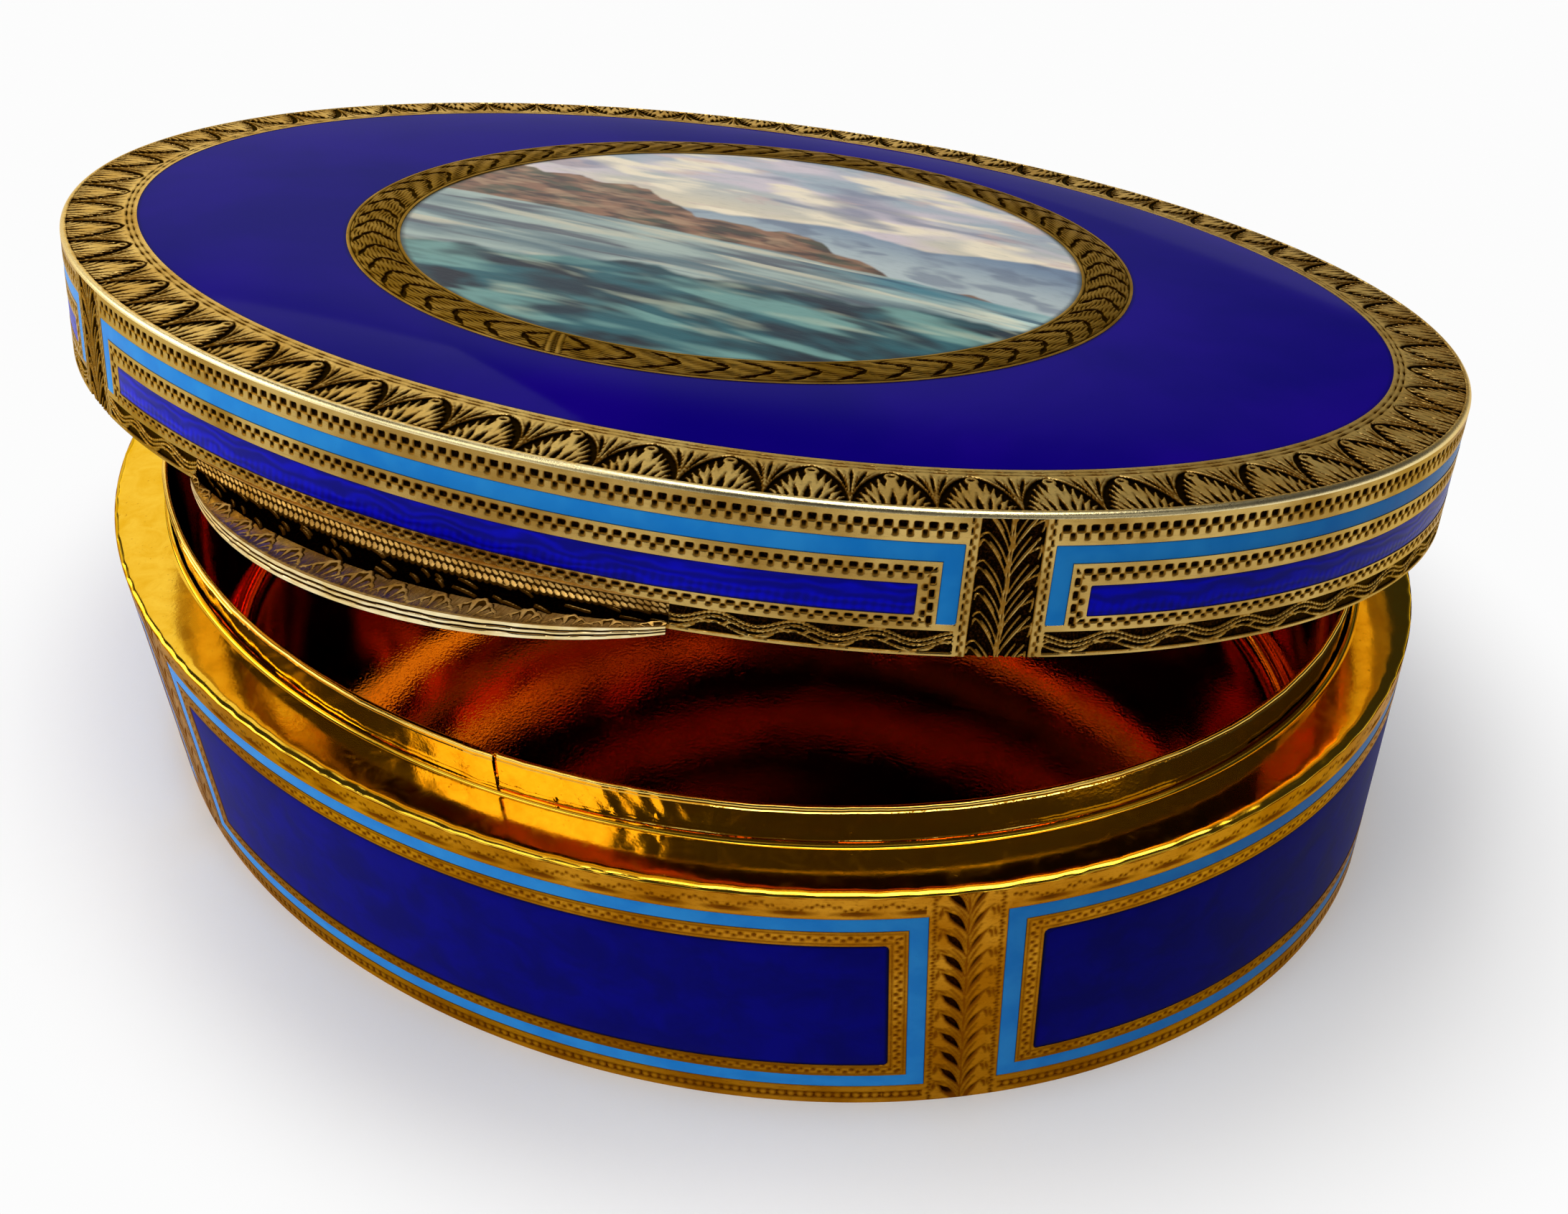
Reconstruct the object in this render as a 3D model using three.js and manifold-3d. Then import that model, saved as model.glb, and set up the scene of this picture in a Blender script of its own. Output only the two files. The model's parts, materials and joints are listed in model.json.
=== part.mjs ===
import * as THREE from 'three'
import { mergeVertices } from 'three/addons/utils/BufferGeometryUtils.js'
import Module from 'manifold-3d'

const wasm = await Module()
wasm.setup()

// An oval table box of gilded silver and enamel, in millimetres. X runs along the oval's
// long axis, the front faces -Y, Z is up, and the origin is the centre of the underside.
// Angles round the oval are those of an ellipse, from +X towards +Y.

// Oval plan and main heights
const semiLong = 75
const semiShort = 58.7
const baseHeight = 31
const lidHeight = 12.8
const openAngle = 13.5
const seatGap = 0.25
const seamGap = 0.3

// Sheet metal
const wallThick = 2
const floorThick = 1.2
const ledgeWidth = 6
const ledgeThick = 1
const ledgeEdgeRound = 0.4
const linerThick = 0.9
const bezelHeight = 4.4
const bezelClearance = 0.4
const enamelDepth = 0.75

// Four engraved pilasters part the wall into panels
const pilasterAngle = 52.2
const pilasterWidth = 7.2

// Bands on the base's wall, from its top and from its foot
const baseTopBand = 3.1
const baseFootBand = 2.65
const baseLine = 1.8
const baseBeadTop = 1.95
const baseBeadFoot = 1.6
const baseBeadSide = 1.75

// Bands on the lid's wall, from its top and from its lower edge
const lidTopBand = 2.8
const lidLine = 1.65
const lidBead = 1.95
const lidBeadSide = 1.75
const lidStripFoot = 3.6
const lidLineFoot = 2.9

// Lid top
const topPlateThick = 2
const topEdgeRound = 0.5
const borderWidth = 7.4
const borderRise = 0.28
const domeRise = 0.95
const inlayDepth = 0.9
const ringOuterRadius = 41
const ringWidth = 5.3
const ringProud = 0.15
const paintingRise = 0.5

// Thumb-piece
const thumbAngle = -92
const thumbHalfSpan = 18.7
const thumbReach = 6.8
const thumbEndReach = 0.8
const thumbDrop = 0.7
const thumbRim = 1.4
const thumbTop = 2.4

// Hinge
const hingeLength = 44
const knuckleCount = 7
const knuckleGap = 0.25
const barrelRadius = 2
const barrelProud = 1.6
const pinRadius = 1.1
const pinClearance = 0.05
const pinHeadRadius = 1.75
const pinHeadLength = 0.8
const baseLeafHeight = 2.85
const lidLeafHeight = 2.15

// Fineness of the facets
const ovalSteps = 72
const roundSteps = 20
const coveSteps = 5
const domeSteps = 3
const thumbSteps = 20

const hingeY = semiShort + barrelProud
const hingeZ = baseHeight + seamGap / 2
const lidFoot = baseHeight + seamGap
const lidTop = lidFoot + lidHeight
const stepAngle = 360 / ovalSteps

const radians = THREE.MathUtils.degToRad

// Points, distances and turned bodies

function ovalPoint(angle, offset, z) {
  const along = Math.cos(radians(angle))
  const across = Math.sin(radians(angle))
  const normal = new THREE.Vector2(along / semiLong, across / semiShort).normalize()
  return new THREE.Vector3(semiLong * along + offset * normal.x, semiShort * across + offset * normal.y, z)
}

// The angle reached from a start angle by walking a distance along the oval's outer edge
function walkOval(angle, distance) {
  const strides = 40
  let reached = angle
  for (let stride = 0; stride < strides; stride++) {
    const turn = radians(reached)
    const speed = Math.hypot(semiLong * Math.sin(turn), semiShort * Math.cos(turn))
    reached += THREE.MathUtils.radToDeg(distance / strides / speed)
  }
  return reached
}

// A closed solid through rows of points: each row is a loop, and the rows close on
// themselves or end in flat faces that fan out from each end row's first point
function rowSolid(rows, closed) {
  const loop = rows[0].length
  const positions = rows.flat().flatMap((point) => [point.x, point.y, point.z])
  const triangles = []
  const lastRow = closed ? rows.length : rows.length - 1
  for (let row = 0; row < lastRow; row++) {
    const here = row * loop
    const next = ((row + 1) % rows.length) * loop
    for (let column = 0; column < loop; column++) {
      const beside = (column + 1) % loop
      triangles.push(here + column, here + beside, next + beside)
      triangles.push(here + column, next + beside, next + column)
    }
  }
  if (!closed) {
    const end = (rows.length - 1) * loop
    for (let column = 1; column < loop - 1; column++) {
      triangles.push(0, column + 1, column)
      triangles.push(end, end + column, end + column + 1)
    }
  }
  const geometry = new THREE.BufferGeometry()
  geometry.setAttribute('position', new THREE.Float32BufferAttribute(positions, 3))
  geometry.setIndex(facesOut(positions, triangles))
  return geometry
}

function facesOut(positions, triangles) {
  const corner = (index) => new THREE.Vector3().fromArray(positions, 3 * index)
  let volume = 0
  for (let first = 0; first < triangles.length; first += 3) {
    const [a, b, c] = triangles.slice(first, first + 3).map(corner)
    volume += a.dot(b.cross(c))
  }
  return volume < 0 ? triangles.toReversed() : triangles
}

function ovalLoop(offset, z) {
  return Array.from({ length: ovalSteps }, (_, step) => ovalPoint(step * stepAngle, offset, z))
}

// Stacked loops of the oval with flat ends: plates, cups and trays
function ovalStack(profile) {
  return rowSolid(profile.map(([offset, z]) => ovalLoop(offset, z)), false)
}

// A closed profile of offsets and heights swept right round the oval
function ovalRing(profile) {
  return rowSolid(profile.map(([offset, z]) => ovalLoop(offset, z)), true)
}

// A rectangular section swept along part of the oval
function ovalSector({ from, to, inner, outer, low, high }) {
  const steps = Math.max(2, Math.ceil((to - from) / stepAngle))
  const rows = Array.from({ length: steps + 1 }, (_, step) => {
    const angle = from + ((to - from) * step) / steps
    const corners = [[inner, low], [outer, low], [outer, high], [inner, high]]
    return corners.map(([offset, z]) => ovalPoint(angle, offset, z))
  })
  return rowSolid(rows, false)
}

function rodAlongX(radius, length, centreX, centreY, centreZ) {
  const rod = new THREE.CylinderGeometry(radius, radius, length, roundSteps)
  rod.rotateZ(Math.PI / 2)
  rod.translate(centreX, centreY, centreZ)
  return rod
}

function block(low, high) {
  const size = high.clone().sub(low)
  const box = new THREE.BoxGeometry(size.x, size.y, size.z)
  const centre = low.clone().add(high).multiplyScalar(0.5)
  return box.translate(centre.x, centre.y, centre.z)
}

// Joining and cutting

function toSolid(geometry) {
  const bare = geometry.clone()
  bare.deleteAttribute('normal')
  bare.deleteAttribute('uv')
  const merged = mergeVertices(bare)
  return new wasm.Manifold(new wasm.Mesh({
    numProp: 3,
    vertProperties: Float32Array.from(merged.attributes.position.array),
    triVerts: Uint32Array.from(merged.index.array),
  }))
}

function toGeometry(solid) {
  const mesh = solid.getMesh()
  const geometry = new THREE.BufferGeometry()
  geometry.setAttribute('position', new THREE.BufferAttribute(Float32Array.from(mesh.vertProperties), 3))
  geometry.setIndex(new THREE.BufferAttribute(Uint32Array.from(mesh.triVerts), 1))
  return geometry
}

function cut(geometry, cutters) {
  return toGeometry(cutters.reduce((solid, cutter) => solid.subtract(toSolid(cutter)), toSolid(geometry)))
}

function join(geometry, additions) {
  return toGeometry(additions.reduce((solid, addition) => solid.add(toSolid(addition)), toSolid(geometry)))
}

// Materials

function finish(color, roughness, metalness) {
  return new THREE.MeshStandardMaterial({ color, roughness, metalness })
}

const gildedEngraved = finish(0xc89b52, 0.42, 1)
const gildedPolished = finish(0xe8b341, 0.16, 1)
const cobaltField = finish(0x1a0f8c, 0.12, 0)
const cobaltStrip = finish(0x0b0bc4, 0.14, 0.2)
const navyPanel = finish(0x0a0678, 0.16, 0)
const skyEnamel = finish(0x2b8fe6, 0.2, 0)
const paintedEnamel = finish(0x6f9aa6, 0.18, 0)

const box = new THREE.Group()
const base = new THREE.Group()
const lid = new THREE.Group()
box.add(base, lid)

// The lid turns about the pin, and its pieces are drawn as on the closed box
const lidTurned = new THREE.Group()
lid.position.set(0, hingeY, hingeZ)
lid.rotation.x = radians(-openAngle)
lidTurned.position.set(0, -hingeY, -hingeZ)
lid.add(lidTurned)

function addPiece(group, name, geometry, material) {
  const mesh = new THREE.Mesh(geometry, material)
  mesh.name = name
  group.add(mesh)
}

// Enamel inlays between the pilasters

const sides = [
  { name: 'front', from: -180 + pilasterAngle, to: -pilasterAngle },
  { name: 'right', from: -pilasterAngle, to: pilasterAngle },
  { name: 'back', from: pilasterAngle, to: 180 - pilasterAngle },
  { name: 'left', from: 180 - pilasterAngle, to: 180 + pilasterAngle },
]

// A rectangle between two pilasters, kept a margin inside their edges
function field(side, margin, low, high) {
  const inset = pilasterWidth / 2 + margin
  return { from: walkOval(side.from, inset), to: walkOval(side.to, -inset), low, high }
}

// The rectangle drawn in on every edge, or let out where the amount is negative
function shrunk(shape, amount) {
  return {
    from: walkOval(shape.from, amount),
    to: walkOval(shape.to, -amount),
    low: shape.low + amount,
    high: shape.high - amount,
  }
}

function inlay(shape) {
  return ovalSector({ ...shrunk(shape, seatGap), inner: -enamelDepth, outer: 0 })
}

function inlayPocket(shape) {
  return ovalSector({ ...shape, inner: -enamelDepth - seatGap, outer: wallThick })
}

function windowThrough(shape) {
  return ovalSector({ ...shape, inner: -2 * wallThick, outer: 2 * wallThick })
}

// A line of enamel between an outer and an inner rectangle
function inlayLine(outer, inner) {
  return cut(inlay(outer), [windowThrough(shrunk(inner, -seatGap))])
}

function linePocket(outer, inner) {
  return cut(inlayPocket(outer), [windowThrough(inner)])
}

// Base

const wallTop = baseHeight - ledgeThick - seatGap
const basePockets = []

for (const side of sides) {
  const outer = field(side, 0, baseFootBand, baseHeight - baseTopBand)
  const inner = field(side, baseLine, baseFootBand + baseLine, baseHeight - baseTopBand - baseLine)
  const panel = field(side, baseLine + baseBeadSide, inner.low + baseBeadFoot, inner.high - baseBeadTop)
  basePockets.push(linePocket(outer, inner), inlayPocket(panel))
  addPiece(base, `base_line_${side.name}`, inlayLine(outer, inner), skyEnamel)
  addPiece(base, `base_panel_${side.name}`, inlay(panel), navyPanel)
}

const hingeNotch = rodAlongX(barrelRadius + seatGap, hingeLength + 2 * pinHeadLength + 4 * seatGap, 0, hingeY, hingeZ)
const wallRing = (low, high) => ovalRing([[0, low], [0, high], [-wallThick, high], [-wallThick, low]])

addPiece(base, 'base_wall', cut(wallRing(0, wallTop), [...basePockets, hingeNotch]), gildedEngraved)
addPiece(base, 'base_floor', ovalStack([
  [-wallThick - seatGap, 0],
  [-wallThick - seatGap, floorThick],
]), gildedPolished)

const ledge = ovalRing([
  [0, baseHeight - ledgeThick],
  [0, baseHeight - ledgeEdgeRound],
  [-ledgeEdgeRound * 0.3, baseHeight - ledgeEdgeRound * 0.3],
  [-ledgeEdgeRound, baseHeight],
  [-ledgeWidth + seatGap, baseHeight],
  [-ledgeWidth + seatGap, baseHeight - ledgeThick],
])
addPiece(base, 'base_ledge', cut(ledge, [hingeNotch]), gildedPolished)

const linerFloor = floorThick + seatGap
addPiece(base, 'base_liner', ovalStack([
  [-ledgeWidth, linerFloor],
  [-ledgeWidth, baseHeight + bezelHeight],
  [-ledgeWidth - linerThick, baseHeight + bezelHeight],
  [-ledgeWidth - linerThick, linerFloor + linerThick],
]), gildedPolished)

// Lid wall

const lidWallTop = lidTop - topPlateThick - seatGap
const lidPockets = []

for (const side of sides) {
  const lineTop = lidTop - lidTopBand
  const outer = field(side, 0, lidFoot + lidLineFoot, lineTop)
  const inner = field(side, lidLine, lidFoot - lidLineFoot, lineTop - lidLine)
  const strip = field(side, lidLine + lidBeadSide, lidFoot + lidStripFoot, lineTop - lidLine - lidBead)
  lidPockets.push(linePocket(outer, inner), inlayPocket(strip))
  addPiece(lidTurned, `lid_line_${side.name}`, inlayLine(outer, inner), skyEnamel)
  addPiece(lidTurned, `lid_strip_${side.name}`, inlay(strip), cobaltStrip)
}

addPiece(lidTurned, 'lid_wall', cut(wallRing(lidFoot, lidWallTop), [...lidPockets, hingeNotch]), gildedEngraved)

const lidLinerInner = -ledgeWidth + bezelClearance
const lidLinerTop = lidWallTop
addPiece(lidTurned, 'lid_liner', ovalStack([
  [lidLinerInner, lidLinerTop - linerThick],
  [lidLinerInner, lidFoot],
  [-wallThick - seatGap, lidFoot],
  [-wallThick - seatGap, lidFoot + linerThick],
  [lidLinerInner + linerThick, lidFoot + linerThick],
  [lidLinerInner + linerThick, lidLinerTop],
]), gildedPolished)

// Lid top: an engraved border plate with a sunk field for the enamel

addPiece(lidTurned, 'lid_top', ovalStack([
  [0, lidTop - topPlateThick],
  [0, lidTop - topEdgeRound],
  [-topEdgeRound * 0.3, lidTop - topEdgeRound * 0.3],
  [-topEdgeRound, lidTop],
  [-borderWidth, lidTop + borderRise],
  [-borderWidth, lidTop - inlayDepth],
]), gildedEngraved)

function roundLoop(radius, z) {
  return Array.from({ length: ovalSteps }, (_, step) => {
    const turn = radians(step * stepAngle)
    return new THREE.Vector3(radius * Math.cos(turn), radius * Math.sin(turn), z)
  })
}

const inlayFloor = lidTop - inlayDepth + seatGap
const fieldEdge = lidTop + borderRise
const fieldCrown = fieldEdge + domeRise

// The enamel field swells from the border's inner edge to the ring round the painting
function fieldRow(share) {
  const outer = ovalLoop(-borderWidth - seatGap, fieldEdge)
  const inner = roundLoop(ringOuterRadius + seatGap, fieldCrown)
  return outer.map((point, step) => {
    const mixed = point.clone().lerp(inner[step], share)
    mixed.z = fieldEdge + domeRise * (1 - (1 - share) ** 2)
    return mixed
  })
}

const swell = Array.from({ length: domeSteps + 1 }, (_, step) => fieldRow(step / domeSteps))
addPiece(lidTurned, 'lid_field', rowSolid([
  ...swell,
  roundLoop(ringOuterRadius + seatGap, inlayFloor),
  ovalLoop(-borderWidth - seatGap, inlayFloor),
], true), cobaltField)

const ringInnerRadius = ringOuterRadius - ringWidth
const ringTop = fieldCrown + ringProud
addPiece(lidTurned, 'painting_ring', rowSolid([
  roundLoop(ringOuterRadius, inlayFloor),
  roundLoop(ringOuterRadius, ringTop),
  roundLoop(ringInnerRadius, ringTop),
  roundLoop(ringInnerRadius, inlayFloor),
], true), gildedEngraved)

const paintingRadius = ringInnerRadius - seatGap
const paintingRows = Array.from({ length: domeSteps }, (_, step) => {
  const share = step / domeSteps
  return roundLoop(paintingRadius * (1 - share), ringTop + paintingRise * (1 - (1 - share) ** 2))
})
addPiece(lidTurned, 'painting', rowSolid([roundLoop(paintingRadius, inlayFloor), ...paintingRows], false), paintedEnamel)

// Thumb-piece: a crescent lip below the front of the lid, hollow above a stepped rim

function thumbRow(share) {
  const angle = thumbAngle + thumbHalfSpan * share
  const reach = thumbEndReach + (thumbReach - thumbEndReach) * (1 - share ** 2)
  const rimTop = lidFoot - thumbDrop + thumbRim
  const row = [[seatGap, lidFoot - thumbDrop], [reach, lidFoot - thumbDrop], [reach, rimTop]]
  for (let step = 1; step <= coveSteps; step++) {
    const turn = ((Math.PI / 2) * step) / coveSteps
    const outward = seatGap + (reach - seatGap) * (1 - Math.sin(turn) * 0.95)
    row.push([outward, rimTop + (lidFoot + thumbTop - rimTop) * (1 - Math.cos(turn))])
  }
  row.push([seatGap, lidFoot + thumbTop])
  return row.map(([offset, z]) => ovalPoint(angle, offset, z))
}

const thumbRows = Array.from({ length: thumbSteps + 1 }, (_, step) => thumbRow((2 * step) / thumbSteps - 1))
addPiece(lidTurned, 'thumb_piece', rowSolid(thumbRows, false), gildedEngraved)

// Hinge: a leaf with knuckles on the base and another on the lid, on one pin

const knucklePitch = (hingeLength + knuckleGap) / knuckleCount
const knuckleLength = knucklePitch - knuckleGap
const knuckles = Array.from({ length: knuckleCount }, (_, index) => ({
  centre: (index - (knuckleCount - 1) / 2) * knucklePitch,
  onBase: index % 2 === 0,
}))

function hingeLeaf(onBase, low, high) {
  const halfLength = hingeLength / 2
  const plate = block(new THREE.Vector3(-halfLength, 0, low), new THREE.Vector3(halfLength, hingeY, high))
  const boxBody = ovalStack([[seatGap, low - 1], [seatGap, high + 1]])
  const own = knuckles.filter((knuckle) => knuckle.onBase === onBase)
  const others = knuckles.filter((knuckle) => knuckle.onBase !== onBase)
  const clearances = others.map(({ centre }) => (
    rodAlongX(barrelRadius + seatGap, knuckleLength + 2 * knuckleGap, centre, hingeY, hingeZ)
  ))
  const shaped = cut(plate, [boxBody, ...clearances])
  const barrels = own.map(({ centre }) => rodAlongX(barrelRadius, knuckleLength, centre, hingeY, hingeZ))
  const bore = rodAlongX(pinRadius + pinClearance, 2 * hingeLength, 0, hingeY, hingeZ)
  return cut(join(shaped, barrels), [bore])
}

addPiece(base, 'hinge_leaf_base', hingeLeaf(true, hingeZ - seamGap - baseLeafHeight, hingeZ - seamGap), gildedPolished)
addPiece(lidTurned, 'hinge_leaf_lid', hingeLeaf(false, hingeZ + seamGap, hingeZ + seamGap + lidLeafHeight), gildedPolished)

const headCentre = hingeLength / 2 + seatGap + pinHeadLength / 2
addPiece(base, 'hinge_pin', join(
  rodAlongX(pinRadius, 2 * headCentre, 0, hingeY, hingeZ),
  [-headCentre, headCentre].map((centre) => rodAlongX(pinHeadRadius, pinHeadLength, centre, hingeY, hingeZ)),
), gildedPolished)

export default box
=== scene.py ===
import json
import math

import bpy
import numpy as np
from mathutils import Matrix, Vector

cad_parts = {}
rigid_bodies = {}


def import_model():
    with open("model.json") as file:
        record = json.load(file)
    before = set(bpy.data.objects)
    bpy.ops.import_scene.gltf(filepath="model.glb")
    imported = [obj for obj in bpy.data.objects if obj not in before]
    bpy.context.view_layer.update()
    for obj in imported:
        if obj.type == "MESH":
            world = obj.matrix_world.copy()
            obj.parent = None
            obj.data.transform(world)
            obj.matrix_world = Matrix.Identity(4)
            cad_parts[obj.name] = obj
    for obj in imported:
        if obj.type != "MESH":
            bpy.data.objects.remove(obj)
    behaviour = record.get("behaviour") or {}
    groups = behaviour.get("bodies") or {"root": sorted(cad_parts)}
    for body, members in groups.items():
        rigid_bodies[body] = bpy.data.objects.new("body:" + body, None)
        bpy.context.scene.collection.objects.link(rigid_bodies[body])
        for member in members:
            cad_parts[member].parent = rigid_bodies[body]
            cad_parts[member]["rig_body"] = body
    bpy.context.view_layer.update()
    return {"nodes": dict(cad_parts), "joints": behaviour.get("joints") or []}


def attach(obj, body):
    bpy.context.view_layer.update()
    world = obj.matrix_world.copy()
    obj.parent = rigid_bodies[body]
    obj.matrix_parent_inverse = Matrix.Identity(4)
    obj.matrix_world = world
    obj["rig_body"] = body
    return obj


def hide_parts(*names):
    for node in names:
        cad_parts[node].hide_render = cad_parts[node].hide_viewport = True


# An oval table box of gilded, engraved metal and fired enamel.
# Shapes are worked out in millimetres on the closed box and written into the meshes in metres.
# s runs along the oval's outer edge from the middle of the front towards +X, z upwards.
# Each engraved piece carries two point attributes. engraving is the place along and across its
# ornament and the signed distance to the nearest cut, below 0 inside a cut. sunk is how deep
# the face lies there. All are in mm.

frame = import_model()

mm = 0.001
joint = frame["joints"][0]
hingeY = joint["pos_m"][1] / mm
hingeZ = joint["pos_m"][2] / mm
openAngle = math.radians(-joint["range_deg"][0])


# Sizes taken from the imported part

def turnedLid(corners, angle):    # turned about the hinge's line
    y = corners[..., 1] - hingeY
    z = corners[..., 2] - hingeZ
    return np.stack([
        corners[..., 0],
        hingeY + y * math.cos(angle) - z * math.sin(angle),
        hingeZ + y * math.sin(angle) + z * math.cos(angle),
    ], -1)


def nodeBox(node):    # lowest and highest corner in mm, the lid's nodes as on the closed box
    part = frame["nodes"][node]
    corners = np.array([corner.co for corner in part.data.vertices]) / mm
    if part["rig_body"] == "lid":
        corners = turnedLid(corners, openAngle)
    return corners.min(0), corners.max(0)


sheet = {
    "wall": 2.0,
    "ledgeWidth": 6.0,
    "liner": 0.9,
    "ledgeRound": 0.4,
    "ledgeBevel": 1.1,
    "bezelClearance": 0.4,
    "border": 7.4,
    "borderRise": 0.3,    # from the lid's rounded edge up to the field
    "edgeRound": 0.5,
    "pilaster": 7.2,
    "pilasterTurn": 37.8,    # degrees of the ellipse from the middle of the front
}
semiLong = nodeBox("base_wall")[1][0]
semiShort = -nodeBox("base_wall")[0][1]
ledgeTop = nodeBox("base_ledge")[1][2]
ledgeFoot = nodeBox("base_ledge")[0][2]
bezelTop = nodeBox("base_liner")[1][2]
linerFoot = nodeBox("base_liner")[0][2]
lidFoot = nodeBox("lid_wall")[0][2]
fieldEdge = nodeBox("lid_top")[1][2]
lidTop = fieldEdge - sheet["borderRise"]
lidHeight = lidTop - lidFoot
domeRise = nodeBox("lid_field")[1][2] - fieldEdge
ringOuter = nodeBox("painting_ring")[1][0]
ringTop = nodeBox("painting_ring")[1][2]


# The oval

turnTable = np.linspace(0, 2 * math.pi, 7201)
outline = np.stack([semiLong * np.sin(turnTable), -semiShort * np.cos(turnTable)], -1)
strides = np.hypot(*np.diff(outline, axis=0).T)
walked = np.concatenate([[0], np.cumsum(strides)])
perimeter = walked[-1]


def ovalTurned(turn):    # a point of the outer edge and its outward direction
    across = np.sin(turn) / semiLong
    along = -np.cos(turn) / semiShort
    length = np.hypot(across, along)
    return semiLong * np.sin(turn), -semiShort * np.cos(turn), across / length, along / length


def points(x, y, z):
    return np.stack(np.broadcast_arrays(x, y, z), -1)


def beside(s, out, z):    # a point so far outside the oval's edge
    x, y, outX, outY = ovalTurned(np.interp(np.asarray(s) % perimeter, walked, turnTable))
    return points(x + out * outX, y + out * outY, z)


def onCircle(turn, radius, z):    # a point round the middle of the box
    return points(radius * np.sin(turn), -radius * np.cos(turn), z)


def walkTo(degrees):
    return np.interp(math.radians(degrees), turnTable, walked)


pilasterPlaces = np.array([walkTo(turn) for turn in (
    sheet["pilasterTurn"],
    180 - sheet["pilasterTurn"],
    180 + sheet["pilasterTurn"],
    360 - sheet["pilasterTurn"],
)])
sideNames = ("right", "back", "left", "front")
pilasterNames = ("frontRight", "backRight", "backLeft", "frontLeft")


def fromPilaster(s):    # signed distance to the middle of the nearest pilaster
    gaps = (np.asarray(s)[..., None] - pilasterPlaces + perimeter / 2) % perimeter - perimeter / 2
    nearest = np.abs(gaps).argmin(-1)
    return np.take_along_axis(gaps, nearest[..., None], -1)[..., 0]


def wallPlace(foot):    # s, height and distance outwards to a point
    return lambda s, z, out: beside(s, out, foot + z)


# Meshes

sharpFold = math.radians(55)    # a fold from here on stays a sharp edge
coarseStep = 1.2    # between rows where nothing is cut


def writeMesh(name, corners, faceGroups, attribute=None, sunk=None):
    mesh = bpy.data.meshes.new(name)
    mesh.vertices.add(len(corners))
    mesh.vertices.foreach_set("co", (corners * mm).astype(np.float32).ravel())
    faceCorners = np.concatenate([group.ravel() for group in faceGroups])
    sizes = np.concatenate([np.full(len(group), group.shape[1]) for group in faceGroups])
    mesh.loops.add(len(faceCorners))
    mesh.loops.foreach_set("vertex_index", faceCorners)
    mesh.polygons.add(len(sizes))
    mesh.polygons.foreach_set("loop_start", np.cumsum(sizes) - sizes)
    mesh.polygons.foreach_set("use_smooth", np.ones(len(sizes), bool))
    mesh.update(calc_edges=True)
    if attribute is not None:
        layer = mesh.attributes.new("engraving", "FLOAT_VECTOR", "POINT")
        layer.data.foreach_set("vector", attribute.astype(np.float32).ravel())
    if sunk is not None:
        layer = mesh.attributes.new("sunk", "FLOAT", "POINT")
        layer.data.foreach_set("value", sunk.astype(np.float32).ravel())
    mesh.validate()
    mesh.set_sharp_from_angle(angle=sharpFold)
    return mesh


def loopMesh(name, loops, ring, attribute=None, body="base", sunk=None):
    # loops is columns x points x 3: each column a closed section, the row of columns
    # closed on itself or capped at both ends
    columns, size = loops.shape[:2]
    spans = columns if ring else columns - 1
    column = np.arange(spans)[:, None] * size
    following = (np.arange(spans)[:, None] + 1) % columns * size
    here = np.arange(size)[None, :]
    beside = (here + 1) % size
    quads = np.stack([column + here, following + here, following + beside, column + beside], -1)
    groups = [quads.reshape(-1, 4)]
    if not ring:
        groups.append(np.arange(size)[None, :])
        groups.append(((columns - 1) * size + np.arange(size)[::-1])[None, :])
    corners = loops.reshape(-1, 3)
    middle = corners.mean(0)
    a, b, c, d = [corners[groups[0][:, corner]] - middle for corner in range(4)]
    volume = (a * np.cross(b, c)).sum() + (a * np.cross(c, d)).sum()
    if volume < 0:
        groups = [group[:, ::-1] for group in groups]
    if body == "lid":
        corners = turnedLid(corners, -openAngle)
    flat = None if attribute is None else attribute.reshape(-1, 3)
    return writeMesh(name, corners, groups, flat, sunk)


def addPiece(name, mesh, material, body, nodes):
    piece = bpy.data.objects.new(name, mesh)
    bpy.context.scene.collection.objects.link(piece)
    mesh.materials.append(material)
    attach(piece, body)
    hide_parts(*nodes)
    return piece


def reliefMesh(name, place, along, across, ornament, thick, ring=False, body="base"):
    # a closed plate whose face is lowered by the ornament, along by across
    s, v = np.meshgrid(along, across, indexing="ij")
    cut, depth = ornament(s, v)
    face = place(s, v, -depth)
    low = place(along, np.full_like(along, across[0]), np.full_like(along, -thick))
    high = place(along, np.full_like(along, across[-1]), np.full_like(along, -thick))
    loops = np.concatenate([low[:, None], face, high[:, None]], 1)
    engraving = np.stack([s, v, cut], -1)
    engraving = np.concatenate([engraving[:, :1], engraving, engraving[:, -1:]], 1)
    sunk = np.pad(depth, ((0, 0), (1, 1)), "edge")
    return loopMesh(name, loops, ring, engraving, body, sunk)


def spaced(stops, fine, coarse=()):    # even steps between stops, fewer in the coarse spans
    places = [stops[0]]
    for index, (low, high) in enumerate(zip(stops, stops[1:])):
        step = coarseStep if index in coarse else fine
        count = max(1, round((high - low) / step))
        places.extend(np.linspace(low, high, count + 1)[1:])
    return np.array(places)


# Ornament, as signed distances to the cuts

noCut = 0.3    # stands for the distance to a cut where the metal is plain


def smooth(share):
    share = np.clip(share, 0, 1)
    return share * share * (3 - 2 * share)


def sink(cut, slope=0.13):    # how far a cut has reached its full depth
    return smooth(-cut / slope)


handRolls = np.random.default_rng(11).uniform(-1, 1, (512, 12))


def byHand(cell, channel):    # a small difference from one motif to the next
    return handRolls[np.asarray(cell).astype(int) % 512, channel]


def ragged(s, v, size=0.018):    # the unsteadiness of a graver's edge
    waver = np.sin(5.1 * s + 2.3 * v) + np.sin(8.7 * v - 3.9 * s) + np.sin(13.3 * s + 11.1 * v)
    return size * waver / 1.7


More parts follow.
